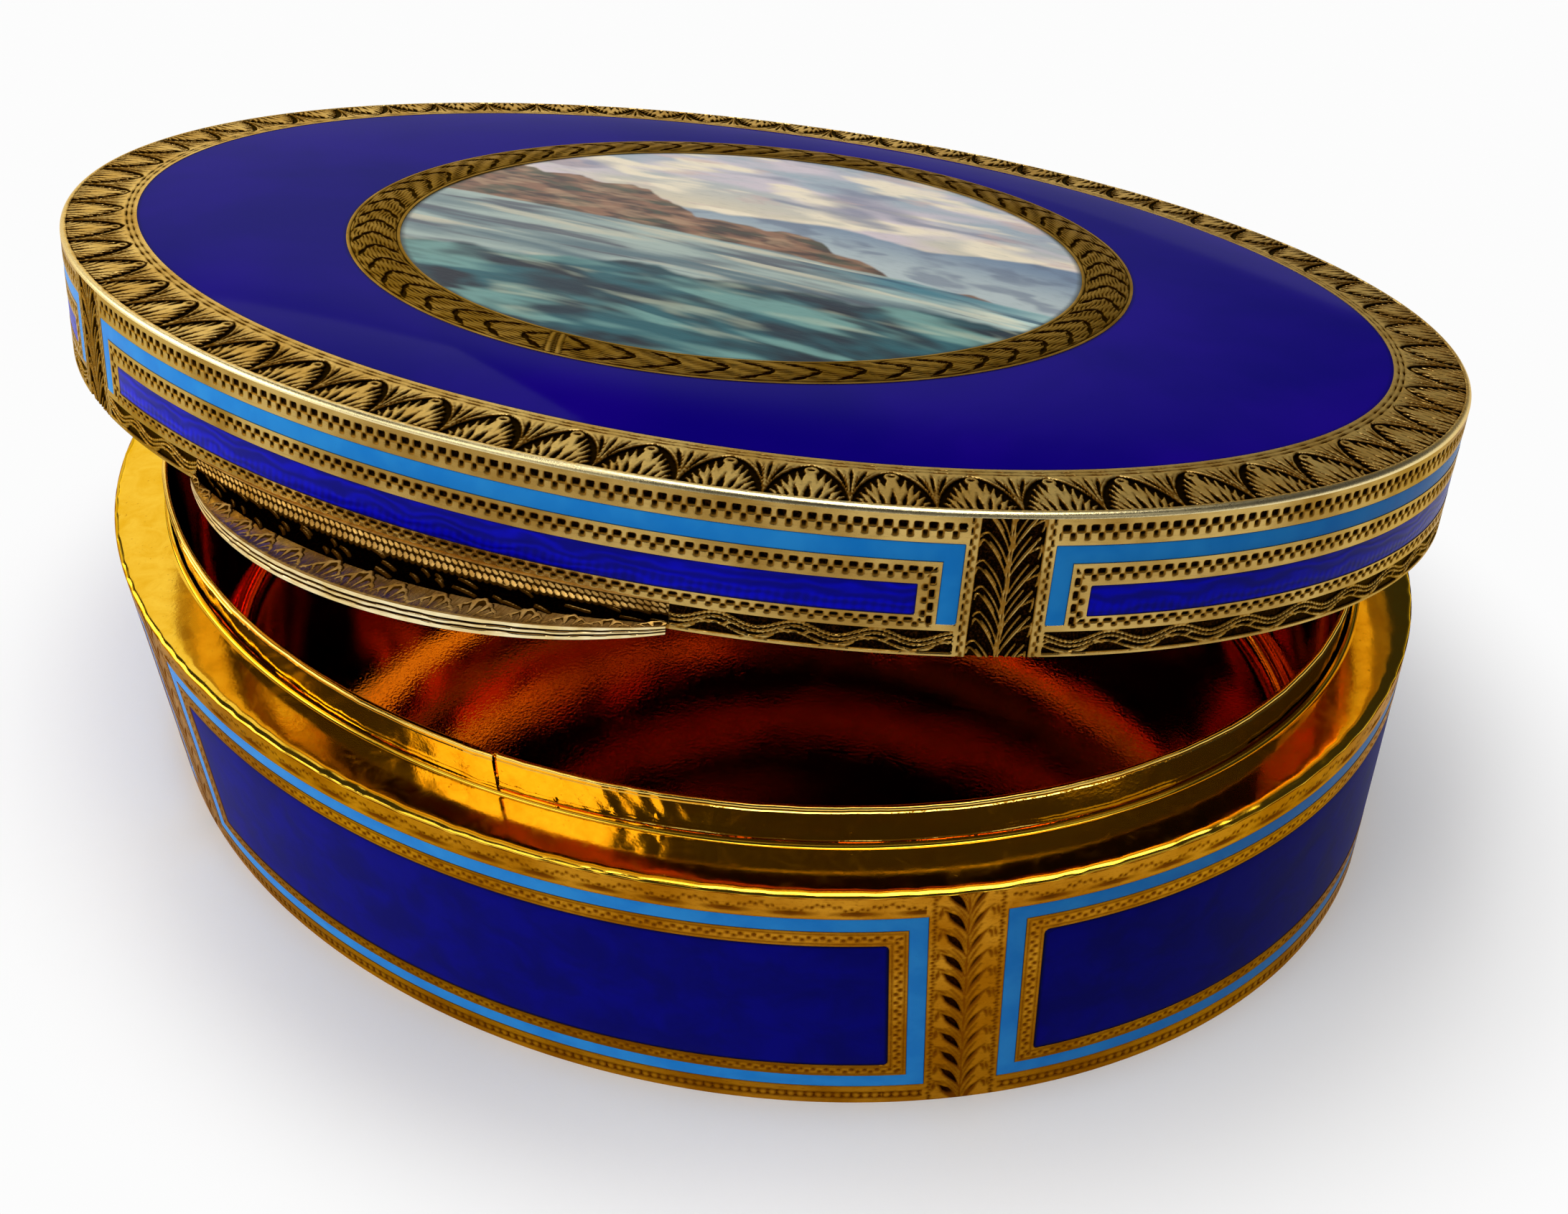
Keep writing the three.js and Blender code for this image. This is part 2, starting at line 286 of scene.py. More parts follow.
def stroke(u, v, line, radii):    # a line through points, as thick there as the radii say
    nearest = np.full(np.shape(u), 99.0)
    for (x0, y0), (x1, y1), r0, r1 in zip(line, line[1:], radii, radii[1:]):
        dx, dy = x1 - x0, y1 - y0
        share = np.clip(((u - x0) * dx + (v - y0) * dy) / (dx * dx + dy * dy), 0, 1)
        gap = np.hypot(u - x0 - share * dx, v - y0 - share * dy) - r0 - (r1 - r0) * share
        nearest = np.minimum(nearest, gap)
    return nearest


def blade(u, v, root, bend, tip, width, fullest=0.5, rootShare=0.25, tipShare=0.05):
    # a curved leaf or graver's stroke, widest at fullest
    share = np.linspace(0, 1, 8)[:, None]
    root, bend, tip = np.array(root), np.array(bend), np.array(tip)
    line = (1 - share) ** 2 * root + 2 * share * (1 - share) * bend + share ** 2 * tip
    rise = smooth(share[:, 0] / fullest) * (1 - rootShare) + rootShare
    fall = smooth((1 - share[:, 0]) / (1 - fullest)) * (1 - tipShare) + tipShare
    return stroke(u, v, line, width / 2 * np.minimum(rise, fall))


def roundedBox(u, v, halfU, halfV, corner):
    outU = np.abs(u) - halfU + corner
    outV = np.abs(v) - halfV + corner
    outside = np.hypot(np.maximum(outU, 0), np.maximum(outV, 0))
    return outside + np.minimum(np.maximum(outU, outV), 0) - corner


def roundedInside(fromSide, fromEnd, corner):    # distance inside a rectangle with round corners
    cornerGap = np.hypot(np.maximum(corner - fromSide, 0), np.maximum(corner - fromEnd, 0))
    return corner - cornerGap + np.maximum(np.minimum(fromSide, fromEnd) - corner, 0)


def toothRow(along, across, pitch, reach):
    # two staggered rows of wide slots that leave a thin line turning in and out between them
    cell = np.floor(along / pitch)
    u = along - cell * pitch
    width = pitch * (0.35 + 0.012 * byHand(cell, 0))
    middle = reach / 2 - 0.03
    apart = (u - 0.75 * pitch + pitch / 2) % pitch - pitch / 2
    upper = roundedBox(apart, across - middle, width, reach / 2, 0.16)
    lower = roundedBox(u - 0.25 * pitch, across + middle, 0.74 * width, reach / 2, 0.2)
    outwards = np.clip(np.abs(across) / reach, 0, 1)
    upperDepth = 0.3 * sink(upper, 0.16) * (0.3 + 0.7 * outwards)
    lowerDepth = 0.17 * sink(lower, 0.16) * (1 - 0.6 * outwards)
    return joined((upper, upperDepth), (lower, lowerDepth))


def dotRows(along, across, pitch, radius, spread):
    # two staggered rows of punched dots
    cell = np.floor(along / pitch)
    u = along - (cell + 0.5) * pitch
    side = np.where(cell % 2 == 0, spread, -spread)
    size = radius * (1 + 0.18 * byHand(cell, 1))
    cut = np.hypot(u - 0.05 * byHand(cell, 2), across - side - 0.04 * byHand(cell, 3)) - size
    return cut, 0.12 * sink(cut, 0.12)


def joined(*parts):    # several cuts into one, each a pair of distance and depth
    cut = np.minimum.reduce([part[0] for part in parts])
    depth = np.maximum.reduce([part[1] for part in parts])
    return cut, depth


def within(zone, part):    # the cut where the zone holds, plain metal elsewhere
    return np.where(zone, part[0], noCut), np.where(zone, part[1], 0.0)


# Materials

def tone(red, green, blue):    # a colour as it looks on screen, 0 to 255
    linear = [(level / 255) ** 2.2 for level in (red, green, blue)]
    return (*linear, 1.0)


class Signal:    # a shader socket that can stand in an expression
    def __init__(self, shader, socket):
        self.shader = shader
        self.socket = socket

    def __add__(self, other):
        return self.shader.maths("ADD", self, other)

    def __radd__(self, other):
        return self.shader.maths("ADD", other, self)

    def __sub__(self, other):
        return self.shader.maths("SUBTRACT", self, other)

    def __rsub__(self, other):
        return self.shader.maths("SUBTRACT", other, self)

    def __mul__(self, other):
        return self.shader.maths("MULTIPLY", self, other)

    def __rmul__(self, other):
        return self.shader.maths("MULTIPLY", other, self)


class Shader:
    def __init__(self, tree):
        self.tree = tree
        self.tree.nodes.clear()

    def node(self, kind, settings=None, sockets=None):
        made = self.tree.nodes.new("ShaderNode" + kind)
        for key, value in (settings or {}).items():
            setattr(made, key, value)
        for key, value in (sockets or {}).items():
            self.feed(made.inputs[key], value)
        return made

    def feed(self, socket, value):
        if isinstance(value, Signal):
            self.tree.links.new(value.socket, socket)
        else:
            socket.default_value = value

    def out(self, node, key=0):
        return Signal(self, node.outputs[key])

    def maths(self, operation, *values):
        return self.out(self.node("Math", {"operation": operation}, dict(enumerate(values))))

    def wave(self, value):
        return self.maths("SINE", value)

    def rise(self, value, low, high):    # 0 below low, 1 above high, smooth between
        sockets = {"Value": value, "From Min": low, "From Max": high}
        return self.out(self.node("MapRange", {"interpolation_type": "SMOOTHSTEP"}, sockets))

    def mix(self, share, first, second):
        return self.out(self.node("Mix", {"data_type": "RGBA"}, {0: share, 6: first, 7: second}), 2)

    def blend(self, patch, low, high, first, second):    # two colours that run into each other
        return self.mix(self.rise(patch, low, high), first, second)

    def wash(self, under, patch, low, high, share, colour):    # a colour laid over in patches
        return self.mix(self.rise(patch, low, high) * share, under, colour)

    def point(self, x, y, z=0.0):
        return self.out(self.node("CombineXYZ", None, {0: x, 1: y, 2: z}))

    def split(self, vector):
        parts = self.node("SeparateXYZ", None, {0: vector})
        return [self.out(parts, index) for index in range(3)]

    def engraving(self):    # along, across and distance to the cut, in mm
        found = self.node("Attribute", {"attribute_name": "engraving"})
        return self.split(self.out(found, "Vector"))

    def place(self):    # the object's own coordinates in mm
        found = self.out(self.node("TexCoord"), "Object")
        return self.out(self.node("VectorMath", {"operation": "SCALE"}, {0: found, "Scale": 1 / mm}))

    def noise(self, vector, scale, detail=2.0, roughness=0.5, distortion=0.0):
        sockets = {
            "Vector": vector,
            "Scale": scale,
            "Detail": detail,
            "Roughness": roughness,
            "Distortion": distortion,
        }
        return self.out(self.node("TexNoise", None, sockets), "Fac")

    def bump(self, height, depth):    # depth in mm
        return self.out(self.node("Bump", None, {"Height": height, "Distance": depth * mm}))

    def finish(self, sockets):
        surface = self.node("BsdfPrincipled", None, sockets)
        self.node("OutputMaterial", None, {"Surface": self.out(surface)})


def newMaterial(name):
    material = bpy.data.materials.new(name)
    material.use_nodes = True
    return material, Shader(material.node_tree)


glancingGold = tone(232, 208, 166)    # what gold turns to at a grazing angle


def engravedGold(name, look):    # bright on top, darker down in the cuts: partly dark patina, partly painted shade
    material, shader = newMaterial(name)
    along, across, cut = shader.engraving()
    where = shader.place()
    cloud = shader.noise(where, look["cloudScale"], 3.0, 0.6)
    grain = shader.noise(where, 4.5, 3.0, 0.7)
    brushed = shader.point(along * look["lineAlong"], across * look["lineAcross"])
    lines = shader.noise(brushed, 1.0, 2.0, 0.6)
    gold = shader.blend(cloud, 0.3, 0.7, look["gold"], look["deepGold"])
    gold = shader.wash(gold, lines, 0.5, 0.75, look["lineShare"], look["shade"])
    gold = shader.wash(gold, grain, 0.55, 0.8, look["grainShare"], look["shade"])
    # Painted shade: the gold darkens towards the edges of the cuts.
    cutEdgeShade = 1 - shader.rise(cut, 0.0, look["edgeShadeWidth"])
    gold = shader.mix(cutEdgeShade * look["edgeShadeShare"], gold, look["shade"])
    # Painted shade in the cuts: their colour, partly a dark patina, is painted darker the deeper the
    # cut lies.
    sunk = shader.out(shader.node("Attribute", {"attribute_name": "sunk"}), "Fac")
    dark = shader.rise(sunk, *look["dimReach"])
    recess = shader.blend(grain, 0.45, 0.75, look["recess"], look["recessWarm"])
    recess = shader.mix(dark, look["cutGold"], recess)
    top = shader.rise(cut, -0.025, 0.025)
    rough = look["roughness"] + (cloud - 0.5) * 0.16 + (grain - 0.5) * 0.12 + (1 - top) * 0.25
    if "edgeGold" in look:    # a paler, smoother band along the outer edge
        edgeBand = 1 - shader.rise(across + (lines - 0.5) * 0.5, *look["edgeReach"])
        gold = shader.mix(edgeBand, gold, look["edgeGold"])
        rough = rough - edgeBand * 0.16
    height = grain * 0.5 + lines * 0.6
    shader.finish({
        "Base Color": shader.mix(top, recess, gold),
        "Metallic": 1.0,
        "Specular Tint": look.get("glancing", glancingGold),
        "Roughness": rough,
        "Normal": shader.bump(height, look["bump"]),
    })
    return material


def polishedGold(name, look):    # slightly wavy, smeared and spotted
    material, shader = newMaterial(name)
    where = shader.place()
    wavy = shader.noise(where, look["waveScale"], 2.0, 0.45)
    smear = shader.noise(where, 0.35, 4.0, 0.65, 0.6)
    speck = shader.noise(where, 2.6, 2.0, 0.5)
    tint = shader.blend(smear, 0.25, 0.8, look["gold"], look["deepGold"])
    spots = shader.rise(speck, 0.7, 0.76)
    tint = shader.mix(spots * 0.35, tint, look["spot"])
    if "insideShadeGold" in look:    # painted shade: lower down inside, the gilding is coloured darker and redder, and it is smoother
        high = shader.rise(shader.split(where)[2], *look["depthReach"])
        tint = shader.mix(high, look["insideShadeGold"], tint)
        wavy = wavy * (high * 0.75 + 0.25)
    rough = look["roughness"] + shader.rise(smear, 0.45, 0.75) * look["smearRough"] + spots * 0.12
    shader.finish({
        "Base Color": tint,
        "Metallic": 1.0,
        "Specular Tint": glancingGold,
        "Roughness": rough,
        "Normal": shader.bump(wavy + speck * 0.05, look["bump"]),
    })
    return material


def glazedEnamel(name, look):    # clear or opaque enamel under a glassy surface
    material, shader = newMaterial(name)
    along, across, edge = shader.engraving()
    flat = shader.point(along, across)
    cloud = shader.noise(flat, look["cloudScale"], 3.0, 0.55, 0.4)
    fleck = shader.noise(flat, 2.2, 2.0, 0.6)
    tint = shader.blend(cloud, 0.3, 0.72, look["colour"], look["second"])
    tint = shader.wash(tint, fleck, 0.68, 0.8, look["fleckShare"], look["fleck"])
    rim = 1 - shader.rise(edge, 0.0, look["rimWidth"])
    tint = shader.mix(rim * look["rimShare"], tint, look["rim"])
    shader.finish({
        "Base Color": tint,
        "Roughness": look["roughness"] + cloud * 0.08,
        "Coat Weight": look["coat"],
        "Coat Roughness": look["coatRoughness"],
        "Specular IOR Level": look["specular"],
        "Normal": shader.bump(cloud + fleck * 0.15, look["bump"]),
    })
    return material


def wavedEnamel(name, look):    # clear enamel over a ground of engraved waves
    material, shader = newMaterial(name)
    along, across, edge = shader.engraving()
    flat = shader.point(along, across)
    drift = shader.noise(shader.point(along * 0.16, across * 0.4), 1.0, 2.0, 0.5)
    waves = shader.wave((across + shader.wave(along * 0.9) * 0.16 + drift * 2.6) * 7.5) * 0.5 + 0.5
    ticks = shader.wave(along * 8.2 + shader.wave(across * 2.1) * 0.8) * 0.5 + 0.5
    ticks = ticks * (1 - shader.rise(across, *look["ticksReach"]))
    cloud = shader.noise(flat, 0.22, 3.0, 0.6)
    ground = waves * 0.42 + ticks * 0.26 + cloud * 0.8
    tint = shader.blend(ground, 0.3, 1.15, look["deep"], look["bright"])
    rim = 1 - shader.rise(edge, 0.0, 0.22)
    tint = shader.mix(rim * 0.7, tint, look["rim"])
    shader.finish({
        "Base Color": tint,
        "Roughness": look["roughness"],
        "Specular IOR Level": 0.04,
        "Coat Weight": 0.06,
        "Coat Roughness": 0.06,
        "Normal": shader.bump(waves * 0.7 + ticks * 0.3, look["bump"]),
    })
    return material


print("materials")

borderGold = engravedGold("border_gold", {
    "gold": tone(246, 212, 130),
    "deepGold": tone(214, 172, 92),
    "shade": tone(98, 66, 26),
    "recess": tone(8, 5, 2),
    "recessWarm": tone(26, 15, 6),
    "roughness": 0.43,
    "cloudScale": 0.14,
    "lineAlong": 2.2,
    "lineAcross": 2.2,
    "lineShare": 0.25,
    "grainShare": 0.35,
    "edgeShadeWidth": 0.2,
    "edgeShadeShare": 0.45,
    "bump": 0.02,
    "cutGold": tone(112, 76, 28),
    "dimReach": (0.02, 0.13),
    "edgeGold": tone(246, 226, 168),
    "edgeReach": (0.45, 0.8),
})

lidWallGold = engravedGold("lid_wall_gold", {
    "gold": tone(200, 168, 98),
    "deepGold": tone(150, 114, 52),
    "shade": tone(84, 56, 20),
    "recess": tone(16, 10, 4),
    "recessWarm": tone(56, 33, 11),
    "roughness": 0.27,
    "cloudScale": 0.1,
    "lineAlong": 0.5,
    "lineAcross": 5.0,
    "lineShare": 0.2,
    "grainShare": 0.2,
    "edgeShadeWidth": 0.1,
    "edgeShadeShare": 0.3,
    "bump": 0.015,
    "cutGold": tone(146, 104, 40),
    "dimReach": (0.03, 0.13),
})

coveGold = engravedGold("cove_gold", {
    "gold": tone(232, 188, 108),
    "deepGold": tone(186, 138, 64),
    "shade": tone(72, 44, 14),
    "cutGold": tone(74, 48, 14),
    "recess": tone(6, 3, 1),
    "recessWarm": tone(26, 13, 4),
    "dimReach": (0.09, 0.2),
    "roughness": 0.55,
    "cloudScale": 0.5,
    "lineAlong": 2.4,
    "lineAcross": 1.2,
    "lineShare": 0.4,
    "grainShare": 0.4,
    "edgeShadeWidth": 0.1,
    "edgeShadeShare": 0.3,
    "bump": 0.03,
    "glancing": tone(120, 76, 28),
})

# Painted shade: this gold is set darker than the lid's, for the dimmer surroundings that the base's
# walls reflect.
baseGold = engravedGold("base_wall_gold", {
    "gold": tone(196, 136, 40),
    "deepGold": tone(158, 98, 20),
    "shade": tone(92, 48, 8),
    "recess": tone(30, 13, 3),
    "recessWarm": tone(70, 34, 8),
    "roughness": 0.33,
    "cloudScale": 0.1,
    "lineAlong": 1.2,
    "lineAcross": 3.0,
    "lineShare": 0.35,
    "grainShare": 0.4,
    "edgeShadeWidth": 0.26,
    "edgeShadeShare": 0.6,
    "bump": 0.02,
    "cutGold": tone(128, 72, 14),
    "dimReach": (0.03, 0.22),
})

ringGold = engravedGold("ring_gold", {
    "gold": tone(194, 156, 84),
    "deepGold": tone(150, 114, 54),
    "shade": tone(72, 48, 18),
    "recess": tone(20, 10, 3),
    "recessWarm": tone(50, 28, 8),
    "roughness": 0.38,
    "cloudScale": 0.12,
    "lineAlong": 0.35,
    "lineAcross": 4.2,
    "lineShare": 0.55,
    "grainShare": 0.3,
    "edgeShadeWidth": 0.2,
    "edgeShadeShare": 0.55,
    "bump": 0.02,
    "cutGold": tone(96, 62, 22),
    "dimReach": (0.01, 0.04),
})

mirrorGold = polishedGold("mirror_gold", {
    "gold": tone(244, 196, 64),
    "deepGold": tone(232, 176, 40),
    "spot": tone(150, 78, 16),
    "roughness": 0.1,
    "smearRough": 0.1,
    "waveScale": 0.12,
    "bump": 0.07,
})

innerGold = polishedGold("inner_gold", {
    "gold": tone(246, 206, 104),
    "deepGold": tone(236, 186, 82),
    "insideShadeGold": tone(228, 134, 42),
    "depthReach": (23.0, 30.0),
    "spot": tone(96, 36, 8),
    "roughness": 0.04,
    "smearRough": 0.03,
    "waveScale": 0.09,
    "bump": 0.2,
})

# Painted highlight: the rim's gold is paler than the rest, standing in for the white light that its
# lines catch.
rimGold = engravedGold("rim_gold", {
    "gold": tone(250, 234, 186),
    "deepGold": tone(226, 196, 128),
    "shade": tone(140, 100, 44),
    "cutGold": tone(110, 74, 28),
    "recess": tone(34, 20, 8),
    "recessWarm": tone(70, 44, 16),
    "dimReach": (0.03, 0.14),
    "roughness": 0.16,
    "cloudScale": 0.3,
    "lineAlong": 0.4,
    "lineAcross": 1.6,
    "lineShare": 0.3,
    "grainShare": 0.12,
    "edgeShadeWidth": 0.05,
    "edgeShadeShare": 0.3,
    "bump": 0.012,
})

hingeGold = polishedGold("hinge_gold", {
    "gold": tone(226, 182, 92),
    "deepGold": tone(196, 146, 62),
    "spot": tone(120, 78, 28),
    "roughness": 0.24,
    "smearRough": 0.1,
    "waveScale": 0.4,
    "bump": 0.04,
})

fieldCobalt = glazedEnamel("field_cobalt", {
    "colour": tone(18, 0, 108),
    "second": tone(28, 2, 122),
    "fleck": tone(34, 14, 140),
    "fleckShare": 0.12,
    "rim": tone(12, 2, 62),
    "rimWidth": 0.5,
    "rimShare": 0.6,
    "cloudScale": 0.04,
    "roughness": 0.3,
    "coat": 0.1,
    "coatRoughness": 0.08,
    "specular": 0.0,
    "bump": 0.03,
})

panelNavy = glazedEnamel("panel_navy", {
    "colour": tone(2, 0, 112),
    "second": tone(6, 0, 138),
    "fleck": tone(22, 12, 158),
    "fleckShare": 0.2,
    "rim": tone(2, 0, 34),
    "rimWidth": 0.5,
    "rimShare": 1.0,
    "cloudScale": 0.2,
    "roughness": 0.4,
    "coat": 0.02,
    "coatRoughness": 0.1,
    "specular": 0.01,
    "bump": 0.04,
})

skyBlue = glazedEnamel("sky_blue", {
    "colour": tone(30, 138, 232),
    "second": tone(46, 154, 240),
    "fleck": tone(18, 104, 196),
    "fleckShare": 0.3,
    "rim": tone(10, 60, 132),
    "rimWidth": 0.12,
    "rimShare": 0.8,
    "cloudScale": 0.2,
    "roughness": 0.3,
    "coat": 0.05,
    "coatRoughness": 0.12,
    "specular": 0.03,
    "bump": 0.02,
})

stripCobalt = wavedEnamel("strip_cobalt", {
    "deep": tone(0, 0, 146),
    "bright": tone(2, 0, 222),
    "rim": tone(0, 0, 52),
    "ticksReach": (4.4, 5.2),    # the row of ticks lies below it, along the lower edge
    "roughness": 0.35,
    "bump": 0.03,
})


def paintedEnamel(name):
    # a lake under hills in soft blended colours, drawn in mm from the middle of the lid
    material, shader = newMaterial(name)
    x, y, inward = shader.engraving()
    blend, wash = shader.blend, shader.wash

    def cloud(alongX, alongY, seed, detail=2.0, swirl=0.3):    # soft patches, longer than high
        where = shader.point(x * alongX + seed, y * alongY + seed * 0.7)
        return shader.noise(where, 1.0, detail, 0.5, swirl)

    def ridge(level, height, scale, seed):    # the height of a line of hills
        return level + (shader.noise(shader.point(x * scale, seed), 1.0, 3.0, 0.5) - 0.5) * height

    def below(line, soft):
        return shader.rise(line - y, -soft, soft)

    sky = blend(y, 0.0, 24.0, tone(222, 204, 166), tone(150, 164, 174))
    sky = wash(sky, cloud(0.05, 0.13, 3.0), 0.42, 0.62, 0.9, tone(204, 190, 196))
    sky = wash(sky, cloud(0.07, 0.2, 11.0), 0.48, 0.64, 0.95, tone(236, 222, 192))
    sky = wash(sky, cloud(0.06, 0.16, 27.0), 0.52, 0.68, 0.8, tone(112, 118, 140))
    sky = wash(sky, cloud(0.11, 0.26, 41.0, 3.0), 0.56, 0.7, 0.6, tone(196, 168, 160))

    far = ridge(7.5, 13.0, 0.045, 3.0) + x * 0.1
    hills = blend(y, -2.0, 12.0, tone(172, 184, 184), tone(104, 126, 150))
    hills = wash(hills, cloud(0.16, 0.3, 5.0), 0.45, 0.65, 0.6, tone(88, 100, 122))
    picture = shader.mix(below(far, 0.5), sky, hills)
    wood = ridge(3.2, 14.0, 0.08, 8.0) - x * 0.26
    slope = blend(cloud(0.2, 0.5, 9.0), 0.36, 0.62, tone(62, 40, 28), tone(132, 92, 66))
    slope = wash(slope, cloud(0.17, 0.5, 15.0), 0.46, 0.68, 0.7, tone(172, 138, 104))
    slope = wash(slope, cloud(0.15, 0.42, 19.0), 0.48, 0.68, 0.7, tone(52, 66, 46))
    picture = shader.mix(below(wood, 0.35), picture, slope)

    lake = blend(cloud(0.04, 0.26, 31.0), 0.34, 0.62, tone(62, 118, 132), tone(176, 204, 196))
    lake = wash(lake, cloud(0.05, 0.4, 37.0), 0.5, 0.64, 0.85, tone(32, 74, 98))
    lake = wash(lake, cloud(0.045, 0.34, 43.0), 0.52, 0.66, 0.9, tone(218, 220, 194))
    lake = wash(lake, wood - y, 0.0, 7.5, 0.35, tone(120, 92, 74))
    picture = shader.mix(below(ridge(-3.2, 1.6, 0.12, 14.0), 0.3), picture, lake)

    bank = ridge(-15.5, 11.0, 0.075, 21.0) + x * 0.2
    rocks = blend(cloud(0.09, 0.2, 47.0), 0.36, 0.6, tone(4, 24, 38), tone(34, 88, 96))
    rocks = wash(rocks, cloud(0.06, 0.24, 53.0), 0.48, 0.64, 0.85, tone(112, 156, 148))
    rocks = wash(rocks, cloud(0.07, 0.2, 59.0), 0.5, 0.66, 0.9, tone(8, 36, 50))
    rocks = wash(rocks, cloud(0.07, 0.3, 61.0, 2.0), 0.54, 0.7, 0.5, tone(186, 196, 168))
    picture = shader.mix(below(bank, 0.6), picture, rocks)

    brush = cloud(0.6, 1.9, 71.0, 3.0, 0.6)
    picture = wash(picture, brush, 0.5, 0.8, 0.16, tone(60, 74, 84))
    picture = wash(picture, 1.0 - inward, 0.3, 1.0, 0.8, tone(40, 48, 40))
    shader.finish({
        "Base Color": picture,
        "Roughness": 0.32 + brush * 0.1,
        "Coat Weight": 0.12,
        "Coat Roughness": 0.06,
        "Specular IOR Level": 0.05,
        "Normal": shader.bump(brush, 0.02),
    })
    return material


paintedScene = paintedEnamel("painted_enamel")


# Panels between the pilasters, shared by the gold walls and the enamel in them

pocket = {
    "depth": 0.55,
    "slope": 0.12,
    "corner": 0.15,
    "lip": 0.05,    # plain metal beside the enamel
    "edgeStep": 0.05,    # a close row or column beside each edge
    "inPanel": 0.5,    # how far a pilaster's piece reaches into the panels
}


def between(index, margin):    # where a side starts and ends, a margin from its pilasters' edges
    reach = sheet["pilaster"] / 2 + margin
    start = pilasterPlaces[index] + reach
    end = pilasterPlaces[(index + 1) % 4] - reach
    return start, end if end > start else end + perimeter


def wallZones(bands, s, z):    # distances inside the enamel and into the beaded frame
    aside = np.abs(fromPilaster(s)) - sheet["pilaster"] / 2
    line = bands["line"]
    fromEnds = np.minimum(z - bands["lineFoot"], bands["lineTop"] - z)
    outer = roundedInside(aside, fromEnds, pocket["corner"])
    frameFoot = bands["panelFoot"] - bands["beadFoot"]
    frameTop = bands["lineTop"] - line
    innerLow = bands["lineFoot"] + line if bands["closed"] else -9.0    # open downwards
    inner = np.minimum(aside - line, np.minimum(z - innerLow, frameTop - z))
    panelTop = frameTop - bands["beadTop"]
    panelSide = aside - line - bands["beadSide"]
    panel = roundedInside(panelSide, np.minimum(z - bands["panelFoot"], panelTop - z), bands["corner"])
    return {
        "aside": aside,
        "sky": np.minimum(outer, -inner),
        "panel": panel,
        "inFrame": (inner > 0) & (z > frameFoot),
        "fromTop": frameTop - z,
        "fromSide": aside - line,
        "fromFoot": z - frameFoot,
    }


def framed(bands, zones, s, z, row):    # a row of ornament round the panel, mitred at its corners
    shares = np.stack([
        zones["fromTop"] / bands["beadTop"],
        zones["fromSide"] / bands["beadSide"],
        zones["fromFoot"] / bands["beadFoot"],
    ])
    nearest = shares.argmin(0)
    widths = (bands["beadTop"], bands["beadSide"], bands["beadFoot"])
    alongs = (s, z, s)
    senses = (1, 1, -1)
    cut = np.full(np.shape(s), noCut)
    depth = np.zeros(np.shape(s))
    for which in range(3):
        across = senses[which] * (0.5 - shares[which]) * widths[which]
        rowCut, rowDepth = row(alongs[which], across, widths[which])
        chosen = (nearest == which) & zones["inFrame"] & (zones["panel"] < 0)
        cut = np.where(chosen, rowCut, cut)
        depth = np.where(chosen, rowDepth, depth)
    return cut, depth


def withPockets(zones, part):    # sinks the metal under the enamel
    inside = np.maximum(zones["sky"], zones["panel"])
    depth = np.maximum(part[1], pocket["depth"] * np.clip(inside / pocket["slope"], 0, 1))
    cut = np.where(inside > 0, -inside, np.minimum(part[0], -inside + pocket["lip"]))
    return cut, depth


def wallStops(bands):    # heights of the pockets' edges, each with a close one beside it
    line, step = bands["line"], pocket["edgeStep"]
    frameTop = bands["lineTop"] - line
    panelTop = frameTop - bands["beadTop"]
    stops = [bands["panelFoot"], bands["panelFoot"] + step, panelTop - step, panelTop]
    stops += [frameTop, frameTop + step, bands["lineTop"] - step, bands["lineTop"], bands["wallTop"]]
    if bands["closed"]:
        foot = bands["lineFoot"]
        return [0, foot, foot + step, foot + line - step, foot + line] + stops
    return [0, bands["footTop"]] + stops


def wallOrnament(bands, row, crest, foot, leaf):    # the motifs in their places round the pockets
    def ornament(s, z):
        zones = wallZones(bands, s, z)
        aside, gap = zones["aside"], bands["crestGap"]
        cut, depth = joined(
            framed(bands, zones, s, z, row),
            within((aside > gap) & (z > bands["lineTop"] + gap), crest(s, z)),
            within((aside > 0.1) & (z < bands["footTop"]), foot(s, z)),
            within(aside < -0.1, leaf(fromPilaster(s), z)),
        )
        return withPockets(zones, (cut + ragged(s, z), depth))
    return ornament


def wallPieces(bands, ornament, material):
    # eight pieces go round: a pilaster with its side frames, then the side after it
    part = bands["part"]
    place = wallPlace(bands["foot"])
    stops = wallStops(bands)
    step, half = pocket["edgeStep"], sheet["pilaster"] / 2
    lineEnd = half + bands["line"]
    panelEdge = lineEnd + bands["beadSide"]
    reach = panelEdge + pocket["inPanel"]
    edges = [half, half + step, lineEnd - step, lineEnd, panelEdge, panelEdge + step]
    fromMiddle = spaced([0, *edges, reach], bands["pilasterStep"])
    columns = np.concatenate([-fromMiddle[:0:-1], fromMiddle])
    fineRows = spaced(stops, bands["pilasterStep"])
    fewRows = spaced(stops, bands["frameStep"], bands["coarse"])
    for index, middle in enumerate(pilasterPlaces):
        start, end = between(index, reach - half)
        along = np.linspace(start, end, round((end - start) / bands["frameStep"]))
        for name, across, rows in (
            (f"{part}_pilaster_{pilasterNames[index]}", middle + columns, fineRows),
            (f"{part}_frame_{sideNames[index]}", along, fewRows),
        ):
            mesh = reliefMesh(name, place, across, rows, ornament, sheet["wall"], body=part)
            addPiece(name, mesh, material, part, [f"{part}_wall"])


# Base wall

